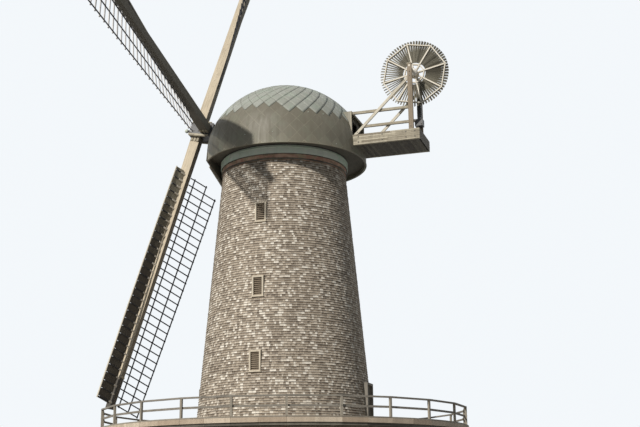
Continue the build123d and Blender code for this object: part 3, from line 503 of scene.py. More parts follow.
def doors():
    """Boarded leaves with strap hinges and a ring handle."""
    rng = np.random.default_rng(11)
    boards, iron = Piece(), Piece()
    for side, sill, width, height in DOORS:
        place = around(side)
        out = place.to_3x3() @ Vector((1, 0, 0))
        x = tower_r(sill) - LEAF_SET_BACK
        face = x + LEAF_THICKNESS
        half, top = width / 2 - DOOR_FRAME, sill + height - DOOR_FRAME
        count = round(2 * half / DOOR_BOARD)
        step = 2 * half / count
        for k in range(count):
            y = -half + k * step
            boards.box(place, (x, y + 0.003, sill), (face, y + step - 0.003, top), rng.uniform())
        for z in (sill + 0.35, top - 0.35):
            iron.box(place, (face, -half + 0.02, z - STRAP_HALF),
                     (face + STRAP, half * 0.6, z + STRAP_HALF), 0.5)
            for y in np.linspace(-half + 0.08, half * 0.5, 4):
                iron.bolt(place @ Vector((face + STRAP, y, z)), out, 0.014, 0.01)
        iron.bolt(place @ Vector((face, half * 0.72, sill + 1.0)), out, 0.05, 0.012)
    boards.make("door_boards", BOARD_DARK, "tower", "dark_timber", ["door_leaves"], 0.003)
    iron.make("door_ironwork", IRON, "tower", "iron")


def ring_strip(piece, radius, depth, z_low, z_high, count, gap, seed):
    """Boards or sheets bent round the tower in equal lengths."""
    rng = np.random.default_rng(seed)
    steps = max(1, round(120 / count))
    for k in range(count):
        tone = rng.uniform()
        a0, a1 = 2 * pi * k / count + gap / radius, 2 * pi * (k + 1) / count - gap / radius
        angles = [a0 + (a1 - a0) * j / steps for j in range(steps + 1)]
        outline = [polar(radius, a) for a in angles] + [polar(radius - depth, a) for a in reversed(angles)]
        n = len(outline)
        quads = [(j, j + 1, n - 2 - j, n - 1 - j) for j in range(steps)]
        faces = [tuple(reversed(q)) for q in quads] + [tuple(n + i for i in q) for q in quads] + skirt(n)
        piece.add([(*p, z_low) for p in outline] + [(*p, z_high) for p in outline], faces, tone)


def tower_head():
    """Boards and mouldings of the painted band, and the copper sheets with their seams above it."""
    band, mould, sheets = Piece(), Piece(), Piece()
    ring_strip(band, TOWER_R_TOP + 0.062, 0.03, WALL_TOP + 0.115, CURB_LOW - 0.03, FRIEZE_BOARDS, 0.002, 3)
    ring_strip(mould, TOWER_R_TOP + 0.095, 0.06, WALL_TOP + 0.02, WALL_TOP + 0.085, FRIEZE_BOARDS, 0.001, 4)
    ring_strip(mould, TOWER_R_TOP + 0.105, 0.05, CURB_LOW - 0.04, CURB_LOW + 0.005, FRIEZE_BOARDS, 0.001, 5)
    ring_strip(sheets, CURB_R + 0.012, 0.014, CURB_LOW + 0.025, CURB_HIGH - 0.02, CURB_SHEETS, 0.001, 6)
    ring_strip(sheets, CURB_R + 0.03, 0.03, CURB_HIGH - 0.035, CURB_HIGH, CURB_SHEETS, 0.0, 7)
    ring_strip(sheets, CURB_R + 0.024, 0.024, CURB_LOW + 0.01, CURB_LOW + 0.035, CURB_SHEETS, 0.0, 8)
    for k in range(CURB_SHEETS):
        sheets.box(around(360 / CURB_SHEETS * k), (CURB_R, -0.012, CURB_LOW + 0.03),
                   (CURB_R + 0.03, 0.012, CURB_HIGH - 0.03), 0.8)
    band.make("frieze_boards", FRIEZE, "tower", "frieze")
    mould.make("frieze_mouldings", BOARD_DARK, "tower", "dark_timber", bevel=0.006)
    # The curb's copper sheets are paled as painted sunlight.
    sheets.make("curb_sheets", VERDIGRIS_PAINTED_SUNLIT, "tower", "verdigris")


def window_trims():
    """Sill boards and drip heads of the louvred windows."""
    piece = Piece()
    for sill in WINDOW_SILLS:
        head = sill + WINDOW_HEIGHT
        for side in (0, 180):
            r, top = tower_r(sill) + 0.06, tower_r(head) + 0.06
            piece.box(around(side), (r - 0.06, -0.31, sill - 0.02), (r + 0.03, 0.31, sill + 0.025), 0.4)
            piece.box(around(side), (top - 0.03, -0.30, head - 0.015), (top + 0.035, 0.30, head + 0.025), 0.6)
    piece.make("window_trims", PAINT_TONED, "tower", "window_paint", bevel=0.005)


# Gallery
DECK_ROWS, BOARD_GAP = 30, 0.003
FASCIA, BEAM_SET_BACK, MITRE_GAP = 0.2, 0.07, 0.0003


def gallery_boards():
    """Deck boards laid from bearer to bearer, trimmed to the edge of the gallery."""
    rng = np.random.default_rng(21)
    piece = Piece()
    edge = DECK_R * cos(pi / RIM_SIDES)
    half = 180 / BAYS
    bay_side, rim_side = radians(half), radians(half / 2)
    inner = tower_r(DECK) * cos(bay_side) - 0.02
    step = (DECK_R - inner) / DECK_ROWS
    for bay in range(BAYS):
        place = around(BAY_START + half + 2 * half * bay)
        for k in range(DECK_ROWS):
            low, high = inner + k * step + BOARD_GAP, inner + (k + 1) * step - BOARD_GAP
            outline = [(low, -2.0), (high, -2.0), (high, 2.0), (low, 2.0)]
            for side in (-1, 1):
                outline = clip(outline, (-sin(bay_side), side * cos(bay_side)), -0.002)
                outline = clip(outline, (cos(rim_side), side * sin(rim_side)), edge)
            if len(outline) > 2:
                bottom, top = [[place @ Vector((*p, z)) for p in outline] for z in (DECK_UNDER, DECK)]
                piece.prism(bottom, top, rng.uniform())
    piece.make("gallery_deck_boards", DECK_BOARDS, "tower", "rail_timber", ["gallery_deck"], 0.004)


def rim_timbers():
    """Pale rim board and the beam under it, dark as painted shade, in mitred straight lengths, bolted beside
    each joint.
    """
    rng = np.random.default_rng(22)
    board, beam, bolts = Piece(), Piece(), Piece()
    inner, face = DECK_R - RIM_WIDTH, DECK_R * cos(pi / RIM_SIDES) - 0.009
    layers = ((board, DECK_R, FASCIA, 0.0), (beam, DECK_R - BEAM_SET_BACK, RIM_DEPTH, FASCIA))
    for k in range(RIM_SIDES):
        a0 = radians(BAY_START) + 2 * pi * k / RIM_SIDES
        a1 = a0 + 2 * pi / RIM_SIDES
        for piece, outer, low, high in layers:
            flat = [polar(inner, a0 + MITRE_GAP), polar(outer, a0 + MITRE_GAP), polar(outer, a1 - MITRE_GAP),
                    polar(inner, a1 - MITRE_GAP)]
            bottom, top = [[(*p, DECK_UNDER - drop) for p in flat] for drop in (low, high)]
            piece.prism(bottom, top, rng.uniform())
        out = Vector((*polar(1, (a0 + a1) / 2), 0))
        for across in (-0.5, 0.5):
            for drop in (0.05, 0.15):
                at = out * face + Vector((-out.y, out.x, 0)) * across
                bolts.bolt((at.x, at.y, DECK_UNDER - drop), out, 0.016, 0.008)
    board.make("gallery_rim_timbers", RIM_WOOD, "tower", "rim_timber", ["gallery_rim"], 0.006)
    beam.make("gallery_rim_beam", RIM_DARK, "tower", "rim_timber", bevel=0.006)
    bolts.make("gallery_rim_bolts", IRON, "tower", "iron")


def rail_bolts():
    """Bolts that hold the rails to their posts."""
    piece = Piece()
    for k in range(BAYS):
        out = Vector((*polar(1, radians(BAY_START + 360 * k / BAYS)), 0))
        face = out * (RAIL_R + RAIL_POST / 2)
        piece.bolt((face.x, face.y, RAIL_MID), out, 0.018, 0.01)
        piece.bolt((RAIL_R * out.x, RAIL_R * out.y, RAIL_TOP), (0, 0, 1), 0.018, 0.008)
    piece.make("rail_bolts", IRON, "tower", "iron")


# Cap
CROWN_R = ((CAP_R - KNEE_R) ** 2 + DOME_RISE ** 2 - KNEE_R ** 2) / (2 * (DOME_RISE - KNEE_R))
KNEE_TURN = atan2(CROWN_R - DOME_RISE, CAP_R - KNEE_R)
DRUM = SPRING - LIP
DOME_LENGTH = DRUM + KNEE_R * KNEE_TURN + CROWN_R * (pi / 2 - KNEE_TURN)
SHEETS, SHEET_START, SHEET_STEPS = 36, 6.7, 4
SHEET_HEIGHT, FOOT_LENGTH = 0.754, 0.11
LOW_ROWS, VIEW_SIDE, CROWN_SHEETS_R = 5, 19.5, 1.7
RIVET_ROWS, RIVET_SHARE = 16, 0.13
ROLL_R, ROLL_STEPS = 0.022, 120
FRONT_BOARD, FRONT_BOARD_DEEP, SHAFT_HOLE_R = 0.2, 0.022, 0.43


def dome_at(length, proud):
    """Radius and height of the dome's outside at a length up from the lip, standing proud of it."""
    if length < DRUM:
        return CAP_R + proud, LIP + length
    turn = (length - DRUM) / KNEE_R
    if turn < KNEE_TURN:
        return CAP_R - KNEE_R + (KNEE_R + proud) * cos(turn), SPRING + (KNEE_R + proud) * sin(turn)
    turn = KNEE_TURN + (length - DRUM - KNEE_R * KNEE_TURN) / CROWN_R
    return (CROWN_R + proud) * cos(turn), SPRING + DOME_RISE - CROWN_R + (CROWN_R + proud) * sin(turn)


def dome_sheet(bm, layers, angle, half, length, lift, lap, rounded, tone):
    """One diamond sheet, lapped so that its lower edges stand proud, with those edges turned in."""
    uv, tone_layer = layers
    grid = {}
    ends = range(SHEET_STEPS + 1)
    for i in ends:
        for j in ends:
            u, v = i / SHEET_STEPS, j / SHEET_STEPS
            at = length + (u + v - 1) * SHEET_HEIGHT / 2
            r, z = dome_at(min(max(at, 0.0), DOME_LENGTH), lift + lap * (1 - (u + v) / 2))
            a = angle + (u - v) * half
            grid[i, j] = (bm.verts.new((r * cos(a), CAP_Y + r * sin(a), z)), (u, v))
    for i in range(SHEET_STEPS):
        for j in range(SHEET_STEPS):
            quad = ((i, j), (i + 1, j), (i + 1, j + 1), (i, j + 1))
            heights = [grid[q][0].co.z for q in quad]
            if max(heights) - min(heights) < 1e-4 and max(heights) < LIP + 0.01:
                continue
            face = bm.faces.new([grid[q][0] for q in quad])
            face.smooth, face[tone_layer] = True, tone
            for loop, q in zip(face.loops, quad):
                loop[uv].uv = grid[q][1]
    for edge in ([(i, 0) for i in ends], [(0, j) for j in reversed(ends)]):
        tops, lows = [], []
        for q in edge:
            p = grid[q][0].co
            tops.append(grid[q][0] if rounded else bm.verts.new(p))
            flat = Vector((p.x, p.y - CAP_Y, 0)).normalized() * 2 * lap
            lows.append(bm.verts.new((p.x - flat.x, p.y - flat.y, p.z - lap / 2)))
        for k in range(SHEET_STEPS):
            face = bm.faces.new((lows[k], lows[k + 1], tops[k + 1], tops[k]))
            face[tone_layer] = tone
            for loop in face.loops:
                loop[uv].uv = (0.0, 0.0)


def in_porch(at, margin=0.0):
    """Whether a place on the dome lies inside the porch, or nearer to it than the margin."""
    return abs(at.x) < STAGE_HALF + margin and at.y > 0 and at.z < PORCH_TOP + margin


def trim_to_cap(bm):
    """Cuts dome sheets off at the flat front, and away from the porch."""
    cuts = [((0, FRONT_FACE, 0), (0, -1, 0)), ((STAGE_HALF, 0, 0), (1, 0, 0)),
            ((-STAGE_HALF, 0, 0), (1, 0, 0)), ((0, 0, PORCH_TOP), (0, 0, 1)), ((0, 0, STAGE_LOW), (0, 0, 1))]
    for at, normal in cuts:
        everything = bm.verts[:] + bm.edges[:] + bm.faces[:]
        bmesh.ops.bisect_plane(bm, geom=everything, plane_co=at, plane_no=normal,
                               clear_outer=at[1] == FRONT_FACE)
    middles = [(face, face.calc_center_median()) for face in bm.faces]
    gone = [face for face, middle in middles if in_porch(middle) and middle.z > STAGE_LOW]
    bmesh.ops.delete(bm, geom=gone, context="FACES")


def dome_zone(name, material, sheets, lift, lap, rounded, seed):
    """Diamond sheets of one finish; each has its length up from the lip, its angle and its half width."""
    rng = np.random.default_rng(seed)
    bm = bmesh.new()
    layers = bm.loops.layers.uv.new("sheet"), bm.faces.layers.float.new("tone")
    for length, angle, half in sheets:
        dome_sheet(bm, layers, radians(angle), radians(half), length, lift, lap, rounded, rng.uniform())
    trim_to_cap(bm)
    mesh = bpy.data.meshes.new(name)
    bm.to_mesh(mesh)
    bm.free()
    mesh.materials.append(material)
    obj = put(name, mesh)
    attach(obj, "cap")


def dome_rivets():
    """Pale heads of the rivets near the points of the sheets."""
    rng = np.random.default_rng(33)
    rivets = Piece()
    pitch = 360 / SHEETS
    for row in range(RIVET_ROWS):
        r, z = dome_at(FOOT_LENGTH + (row + 0.15) * SHEET_HEIGHT / 2, 0.012)
        for k in range(SHEETS):
            a = radians(SHEET_START - pitch / 2 * (row % 2) + pitch * k + rng.uniform(-2, 2))
            at = Vector((r * cos(a), CAP_Y + r * sin(a), z))
            hidden = at.y < FRONT_Y + 0.05 or in_porch(at, 0.05)
            if rng.uniform() < RIVET_SHARE and not hidden:
                rivets.bolt(at, (cos(a), sin(a), 0.07 * row), rng.uniform(0.016, 0.032), 0.014, rng.uniform())
    rivets.make("dome_rivets", RIVET, "cap", "copper", smooth=True)


def dome_cladding():
    """Brown sheets round the foot of the dome and grey ones above them, one row higher on the sails' side."""
    foot, low, high = [], [], []
    row = 0
    while row * SHEET_HEIGHT / 2 < DOME_LENGTH:
        length = FOOT_LENGTH + row * SHEET_HEIGHT / 2
        count = SHEETS if dome_at(min(length, DOME_LENGTH), 0)[0] > CROWN_SHEETS_R else SHEETS // 2
        for k in range(count):
            angle = SHEET_START - 180 / count * (row % 2) + 360 * k / count
            behind = (angle - VIEW_SIDE) % 360 < 180
            zone = foot if row == 0 else low if row < LOW_ROWS + (not behind) else high
            zone.append((length, angle, 180 / count))
        row += 1
    dome_zone("dome_sheets_low", COPPER, low, lift=0.003, lap=0.003, rounded=False, seed=31)
    dome_zone("dome_foot_sheets", COPPER_FOOT, foot, lift=0.007, lap=0.006, rounded=False, seed=34)
    dome_zone("dome_sheets_high", COPPER_HIGH, high, lift=0.010, lap=0.007, rounded=True, seed=32)
    dome_rivets()


def lip_roll():
    """Rolled edge of the dome's lip, up to the flat front."""
    piece = Piece()
    start = asin((FRONT_Y - CAP_Y) / CAP_R)
    rings, faces = [], []
    for k in range(ROLL_STEPS + 1):
        a = start + (pi - 2 * start) * k / ROLL_STEPS
        for j in range(8):
            across, up = polar(ROLL_R, j * pi / 4)
            r = CAP_R + 0.01 + across
            rings.append((r * cos(a), CAP_Y + r * sin(a), LIP + up))
    for k in range(ROLL_STEPS):
        faces += [(8 * k + j, 8 * k + 8 + j, 8 * k + 8 + (j + 1) % 8, 8 * k + (j + 1) % 8) for j in range(8)]
    piece.add(rings, faces, 0.6)
    piece.make("dome_lip_roll", COPPER_PLAIN, "cap", "copper", smooth=True)


def front_outline(x):
    """Lowest and highest point of the cap's front at a place across it."""
    low = LIP - BEARD_DROP * max(0.0, 1 - abs(x) / BEARD_HALF)
    r = sqrt(x * x + (FRONT_FACE - CAP_Y) ** 2)
    if r >= CAP_R:
        return low, LIP
    inside = r - (CAP_R - KNEE_R)
    if inside > KNEE_R * cos(KNEE_TURN):
        return low, SPRING + sqrt(KNEE_R ** 2 - inside ** 2)
    return low, SPRING + DOME_RISE - CROWN_R + sqrt(CROWN_R ** 2 - r * r)


def front_boards():
    """Upright boards on the flat front of the cap, cut round the windshaft."""
    rng = np.random.default_rng(41)
    piece = Piece()
    centre = HUB.z - (FRONT_FACE - HUB.y) * tan(TILT)
    for k in range(-12, 12):
        x0, x1 = k * FRONT_BOARD + 0.003, (k + 1) * FRONT_BOARD - 0.003
        lows, highs = zip(front_outline(x0), front_outline(x1))
        parts = [(lows, highs)]
        near = min(abs(x0), abs(x1))
        if near < SHAFT_HOLE_R:
            cut = sqrt(SHAFT_HOLE_R ** 2 - near ** 2)
            parts = [(lows, (centre - cut, centre - cut)), ((centre + cut, centre + cut), highs)]
        for (a, b), (c, d) in parts:
            face = [(x0, a), (x1, b), (x1, d), (x0, c)]
            back, front = [[(p, y, q) for p, q in face] for y in (FRONT_FACE, FRONT_FACE - FRONT_BOARD_DEEP)]
            piece.prism(back, front, rng.uniform())
    # The cap's front boards are dark as painted shade.
    piece.make("cap_front_boards", BOARD_DARK, "cap", "dark_timber", bevel=0.004)


# Tail stage
BEAM_LAYERS, BEAM_START, BEAM_BOLTS = 6, 1.5, (4.3, 5.5, 6.7, 7.15)
STAGE_BOARD = 0.14


def beam_layers(piece, side, rng):
    """Laminated beam on one side of the stage, each layer of three lengths."""
    step = (STAGE_HIGH - STAGE_LOW) / BEAM_LAYERS
    for k in range(BEAM_LAYERS):
        z = STAGE_LOW + k * step
        joints = [BEAM_START, 3.0 + rng.uniform(0, 1.5), 5.2 + rng.uniform(0, 1.2), STAGE_END]
        for y0, y1 in zip(joints, joints[1:]):
            x0, x1 = sorted((side * STAGE_INNER, side * (STAGE_HALF - rng.uniform(0.0, 0.006))))
            piece.box(STILL, (x0, y0 + 0.001, z + 0.003), (x1, y1 - 0.001, z + step - 0.002), rng.uniform())


def stage_bolts(piece, side):
    """Bolts through one beam, the fan post on it and the ends of the post's brace."""
    places = [(y, z, 0.028, 0.016) for y in BEAM_BOLTS for z in (STAGE_LOW + 0.13, STAGE_HIGH - 0.13)]
    places += [(FAN_Y, z, 0.026, 0.015) for z in (STAGE_HIGH + 0.12, FAN_Z - 0.32, FAN_Z - 0.55)]
    places += [(4.25, STAGE_HIGH + 0.10, 0.022, 0.014), (6.70, FAN_Z - 0.78, 0.022, 0.014)]
    for y, z, radius, height in places:
        piece.bolt((side * STAGE_HALF, y, z), (side, 0, 0), radius, height)


def stage_dressing():
    """Laminated beams, deck boards and bolts of the tail stage, and the porch's corner boards."""
    rng = np.random.default_rng(51)
    beams, boards, trim, iron = Piece(), Piece(), Piece(), Piece()
    for side in (-1, 1):
        beam_layers(beams, side, rng)
        stage_bolts(iron, side)
        x0, x1 = sorted((side * (STAGE_HALF - 0.05), side * (STAGE_HALF + 0.012)))
        trim.box(STILL, (x0, PORCH_Y - 0.035, STAGE_HIGH), (x1, PORCH_Y + 0.012, PORCH_TOP), 0.7)
    trim.box(STILL, (-STAGE_HALF, PORCH_Y - 0.02, PORCH_TOP - 0.1),
             (STAGE_HALF, PORCH_Y + 0.02, PORCH_TOP + 0.012), 0.6)
    count = round((STAGE_END - PORCH_Y) / STAGE_BOARD)
    step = (STAGE_END - PORCH_Y) / count
    for k in range(count):
        y = PORCH_Y + k * step
        boards.box(STILL, (-STAGE_INNER, y + 0.004, STAGE_LOW),
                   (STAGE_INNER, y + step - 0.004, STAGE_LOW + 0.06), rng.uniform())
    boards.box(STILL, (-STAGE_INNER, STAGE_END - 0.06, STAGE_LOW), (STAGE_INNER, STAGE_END, STAGE_HIGH), 0.3)
    beams.make("stage_beam_layers", STAGE_WOOD, "cap", "timber", ["stage_beams"], 0.004)
    # The stage deck boards are darkened as painted shade.
    boards.make("stage_deck_boards", BOARD_DARK, "cap", "dark_timber", ["stage_deck"], 0.003)
    trim.make("porch_corner_boards", STAGE_WOOD, "cap", "timber", bevel=0.004)
    iron.make("stage_bolts", IRON, "cap", "iron")


# Sails
LATHS = (0.427, 1.208, 1.973)
BAR_WIDE, BAR_WIDE_INNER, BAR_DEEP = 0.05, 0.085, 0.044
LATH_WIDE, LATH_DEEP, LATH_LAP = 0.06, 0.034, 0.006
BAR_OVER, LATH_OVER = 0.09, 0.06
BOARD_START, BOARD_OVER, BOARD_DEEP, STOCK_GAP = 0.2, 0.11, 0.028, 0.12
TIP_CLAMP = (13.76, 13.86)
BALL_RINGS = 14


def share_out(s):
    """How far a place is from the first bar of a sail, 0, to the last one, 1."""
    return (s - FIRST_BAR) / ((BARS - 1) * BAR_PITCH)


def weather(s):
    """Angle of a sail's surface to the plane in which it turns, at a distance out."""
    return radians(ROOT_WEATHER + (TIP_WEATHER - ROOT_WEATHER) * share_out(s))


def board_edges(s):
    """Outer and inner end of a leading board's bar at a distance out."""
    inner = BAR_END_ROOT + (BAR_END_TIP - BAR_END_ROOT) * share_out(s)
    wide = BOARD_WIDE_ROOT + (BOARD_WIDE_TIP - BOARD_WIDE_ROOT) * share_out(s)
    return -(inner + wide), -inner


def bar_place(k):
    """Distance out of bar k."""
    return FIRST_BAR + k * BAR_PITCH


def stock_side(i):
    """Way that sail i's stock lies from the hub along its Y: -1 for the outer stock, 1 for the inner one."""
    return -1 if i % 2 == 0 else 1


def surface_matrix(i, s):
    """Place on sail i's surface at a distance out: X to the trailing edge, Y behind the surface."""
    out = Matrix.Translation((0, stock_side(i) * BAR_PLANE, s))
    return sail_matrix(i) @ out @ Matrix.Rotation(weather(s), 4, "Z")


def tapered(s, root, tip):
    """Size of a stock at a distance out, straight near the hub and then tapering to its tip."""
    return root + (tip - root) * max(0.0, (s - STOCK_STRAIGHT) / (SAIL_R - STOCK_STRAIGHT))


def stock_half(s):
    """Half the width of a stock at a distance out."""
    return tapered(s, STOCK_ROOT, STOCK_TIP) / 2


def twisted_lath(piece, i, edges, n_low, n_high, tone):
    """Lath in short lengths that follow sail i; edges holds its two edges at each distance out."""
    points = []
    for s, low, high in edges:
        place = surface_matrix(i, s)
        corners = ((low, n_low), (high, n_low), (high, n_high), (low, n_high))
        points += [place @ Vector((t, n, 0)) for t, n in corners]
    last = 4 * (len(edges) - 1)
    faces = [(3, 2, 1, 0), (last, last + 1, last + 2, last + 3)]
    for k in range(len(edges) - 1):
        faces += skirt(4, k)
    piece.add(points, faces, tone)


def lattice(name, sails, bar_material, bar_wide, seed):
    """Bars through the stock and the long laths on their backs."""
    rng = np.random.default_rng(seed)
    bars, laths = Piece(), Piece()
    back = BAR_DEEP / 2 - LATH_LAP
    for i in sails:
        for k in range(BARS):
            s = bar_place(k)
            reach = (LATHS[1] if k < 1 else LATHS[2]) + BAR_OVER + rng.uniform(-0.02, 0.0)
            bars.box(surface_matrix(i, s), (stock_half(s) - 0.01, -BAR_DEEP / 2, -bar_wide / 2),
                     (reach, BAR_DEEP / 2, bar_wide / 2), rng.uniform())
        for offset in LATHS:
            first = 1 if offset == LATHS[-1] else 0
            places = [bar_place(first) - LATH_OVER, *[bar_place(k) for k in range(first + 1, BARS - 1)],
                      bar_place(BARS - 1) + LATH_OVER]
            edges = [(s, offset - LATH_WIDE / 2, offset + LATH_WIDE / 2) for s in places]
            twisted_lath(laths, i, edges, back, back + LATH_DEEP, rng.uniform())
    bars.make(f"lattice_bars_{name}", bar_material, "sails", "timber", [f"sail_lattices_{name}"], 0.003)
    laths.make(f"lattice_laths_{name}", LATH_SHADED, "sails", "timber")


def board_panels(piece, i, near, rng):
    """Leading boards of sail i, one to each bay, a little askew; their tone is painted light, pale near the
    hub and all along sail 2, darkening outwards as painted shade.
    """
    for k in range(BARS + 1):
        s0 = bar_place(k - 1) if k else bar_place(0) - BOARD_START
        s1 = bar_place(k) if k < BARS else s0 + BOARD_OVER
        lean = rng.uniform(-0.006, 0.006)
        corners = []
        for s, push in ((s0 + 0.012, lean), (s1 - 0.012, -lean)):
            outer, inner = board_edges(s)[0], -stock_half(s) - STOCK_GAP
            middle = (outer + inner) / 2
            place = surface_matrix(i, s)
            for n in (near - BOARD_DEEP + push, near + push):
                across = (outer, middle - 0.002, middle + 0.002, inner)
                corners.append([place @ Vector((t, n, 0)) for t in across])
        # Painted light and shade: sail 2's boards are paled as if sunlit, the other sails' boards darken from
        # the hub outwards as if shaded.
        painted_light_tone = 1.0 if i == 2 else 0.95 - 0.85 * min(1.0, k / 12)
        for a, b in ((0, 1), (2, 3)):
            faces = [[corners[n][a], corners[n][b], corners[n + 2][b], corners[n + 2][a]] for n in (0, 1)]
            piece.prism(*faces, painted_light_tone + rng.uniform(-0.1, 0.1))


def windboards(name, sails, seed):
    """Leading boards on the short ends of the bars, the bars dark over the boards as painted shade and pale
    at their roots as painted sunlight, and the edging outside.
    """
    rng = np.random.default_rng(seed)
    boards, bars, roots, edging = Piece(), Piece(), Piece(), Piece()
    near = LATH_LAP - BAR_DEEP / 2
    for i in sails:
        board_panels(boards, i, near, rng)
        for k in range(BARS):
            s = bar_place(k)
            outer, inner = board_edges(s)
            place = surface_matrix(i, s)
            tone = rng.uniform()
            bars.box(place, (inner + 0.8 * (outer - inner), -BAR_DEEP / 2, -BAR_WIDE / 2),
                     (inner, BAR_DEEP / 2, BAR_WIDE / 2), tone)
            roots.box(place, (inner + 0.001, -BAR_DEEP / 2 - 0.002, -BAR_WIDE / 2 - 0.012),
                      (0.01 - stock_half(s), BAR_DEEP / 2 + 0.006, BAR_WIDE / 2 + 0.012), tone)
        places = [bar_place(0) - BOARD_START, *[bar_place(k) for k in range(0, BARS, 2)],
                  bar_place(BARS - 1) + BOARD_OVER]
        edges = [(s, board_edges(s)[0] - 0.022, board_edges(s)[0] + 0.012) for s in places]
        twisted_lath(edging, i, edges, near - 0.034, near + 0.03, rng.uniform())
    boards.make(f"windboards_{name}", WINDBOARD, "sails", "dark_timber", bevel=0.004)
    bars.make(f"windboard_bars_{name}", LATTICE_SHADED, "sails", "dark_timber",
              [f"sail_windboards_{name}"], 0.003)
    roots.make(f"windboard_bar_roots_{name}", PALE_AND_SUNLIT_TIMBER, "sails", "timber", bevel=0.004)
    edging.make(f"windboard_edging_{name}", BRACE_WOOD, "sails", "timber")


def stock_fittings():
    """Small bolts beside the bars and pale clamps at the painted tips."""
    iron, pale = Piece(), Piece()
    low, high = TIP_CLAMP
    proud = 0.02
    for i in range(4):
        place, side = sail_matrix(i), stock_side(i)
        for k in range(BARS):
            s = bar_place(k) + 0.08
            for sideways in (-1, 1):
                middle = side * tapered(s, STOCK_DEEP, STOCK_SHALLOW) / 2
                at = place @ Vector((sideways * stock_half(s), middle, s))
                iron.bolt(at, place.to_3x3() @ Vector((sideways, 0, 0)), 0.014, 0.01)
        half, depth = stock_half(low) + proud, tapered(low, STOCK_DEEP, STOCK_SHALLOW)
        y0, y1 = sorted((-side * proud, side * (depth + proud)))
        pale.box(place, (-half, y0, low), (half, y1, high), 1.0)
    iron.make("stock_bolts", IRON, "sails", "iron")
    pale.make("stock_tip_clamps", STAGE_WOOD, "sails", "timber", bevel=0.008)


def poll_dressing():
    """Pale bearers along the poll end's corners, wedges beside the stocks and the ball's cover."""
    rng = np.random.default_rng(61)
    piece = Piece()
    half, reach = POLL_SIZE / 2, POLL_LENGTH / 2
    for i in range(4):
        place, side = sail_matrix(i), stock_side(i)
        for low in (-half - 0.03, half - 0.07):
            front, back = reach + rng.uniform(-0.06, 0.02), reach - rng.uniform(0.1, 0.3)
            piece.box(place, (low, -front, half), (low + 0.10, back, half + 0.05), rng.uniform(0.5, 1.0))
        for sideways in (-1, 1):
            for j in range(3):
                y0, y1 = sorted(side * STOCK_DEEP * (j + share) / 3 for share in (0.12, 0.86))
                wedge = STOCK_ROOT / 2 + rng.uniform(0.03, 0.06)
                x0, x1 = sorted((sideways * STOCK_ROOT / 2, sideways * wedge))
                top = half + rng.uniform(0.22, 0.3)
                piece.box(place, (x0, y0, half - 0.02), (x1, y1, top), rng.uniform(0.3, 1.0))
    piece.make("poll_bearers_and_wedges", STAGE_WOOD, "sails", "timber", bevel=0.006)
    tilted = Matrix.Translation(HUB) @ Matrix.Rotation(-TILT, 4, "X") @ Matrix.Rotation(pi / 2, 4, "X")
    turns = [pi * (k + 0.5) / BALL_RINGS for k in range(BALL_RINGS)]
    profile = [(BALL_R * sin(turn), BALL_AT - BALL_R * cos(turn)) for turn in turns]
    round_piece("poll_ball_cover", RIVET, "sails", "copper", tilted, profile, 24)


# Fantail
def round_piece(name, material, body, slot, place, profile, turns=32):
    """Piece turned about the Z of a place, from its radii and heights."""
    piece = Piece()
    last = len(profile) - 1
    points = [place @ Vector((*polar(r, 2 * pi * k / turns), z)) for r, z in profile for k in range(turns)]
    faces = sum([skirt(turns, ring) for ring in range(last)], [])
    faces += [tuple(reversed(range(turns))), tuple(range(turns * last, turns * (last + 1)))]
    piece.add(points, faces, 0.8)
    piece.make(name, material, body, slot, smooth=True)


def fan_fittings():
    """Hub caps, bolts along the spokes and the caps on the posts."""
    iron, pale = Piece(), Piece()
    centre = Vector((0, FAN_Y, FAN_Z))
    for k in range(8):
        ray = Vector((0, *polar(1, radians(FAN_PHASE + 45 * k))))
        for r in (0.30, 0.52, 1.60):
            for side in (-1, 1):
                iron.bolt(centre + ray * r + Vector((side * FAN_DEPTH / 2, 0, 0)), (side, 0, 0), 0.018, 0.012)
    rim = FAN_HUB_R + 0.01
    profile = [(rim, -0.05), (rim, 0.0), (0.16, 0.04), (0.075, 0.16), (0.06, 0.17)]
    half, top = FAN_BEARING / 2 + 0.03, FAN_Z + FAN_BEARING / 2
    for side, label in ((-1, "far"), (1, "near")):
        place = Matrix.Translation(centre + Vector((side * FAN_HUB_LENGTH / 2, 0, 0)))
        place = place @ Vector((side, 0, 0)).to_track_quat("Z", "Y").to_matrix().to_4x4()
        # The hub caps are pale timber, paled further as painted sunlight.
        round_piece(f"fan_hub_cap_{label}", PALE_AND_SUNLIT_TIMBER, "fantail", "timber", place, profile)
        x0, x1 = sorted((side * (STAGE_INNER - 0.015), side * (STAGE_HALF + 0.015)))
        pale.box(STILL, (x0, FAN_Y - half, top), (x1, FAN_Y + half, top + 0.035), 0.9)
    iron.make("fan_bolts", IRON, "fantail", "iron")
    pale.make("fan_bearing_caps", STAGE_WOOD, "cap", "timber", bevel=0.006)


# Materials: a pale and a dark colour for each timber, and three colours for each copper
STAGE_COLOURS = (0.58, 0.53, 0.41), (0.24, 0.205, 0.15)
POST_COLOURS = (0.40, 0.33, 0.245), (0.21, 0.165, 0.115)
GREY_COLOURS = (0.46, 0.42, 0.34), (0.22, 0.19, 0.15)
# Grey-tan rail timber, darkened as painted shade, for the gallery's rails and the door frames.
RAIL_SHADED_COLOURS = (0.36, 0.33, 0.275), (0.14, 0.125, 0.105)
BROWN_COLOURS = (0.46, 0.375, 0.28), (0.24, 0.185, 0.135)
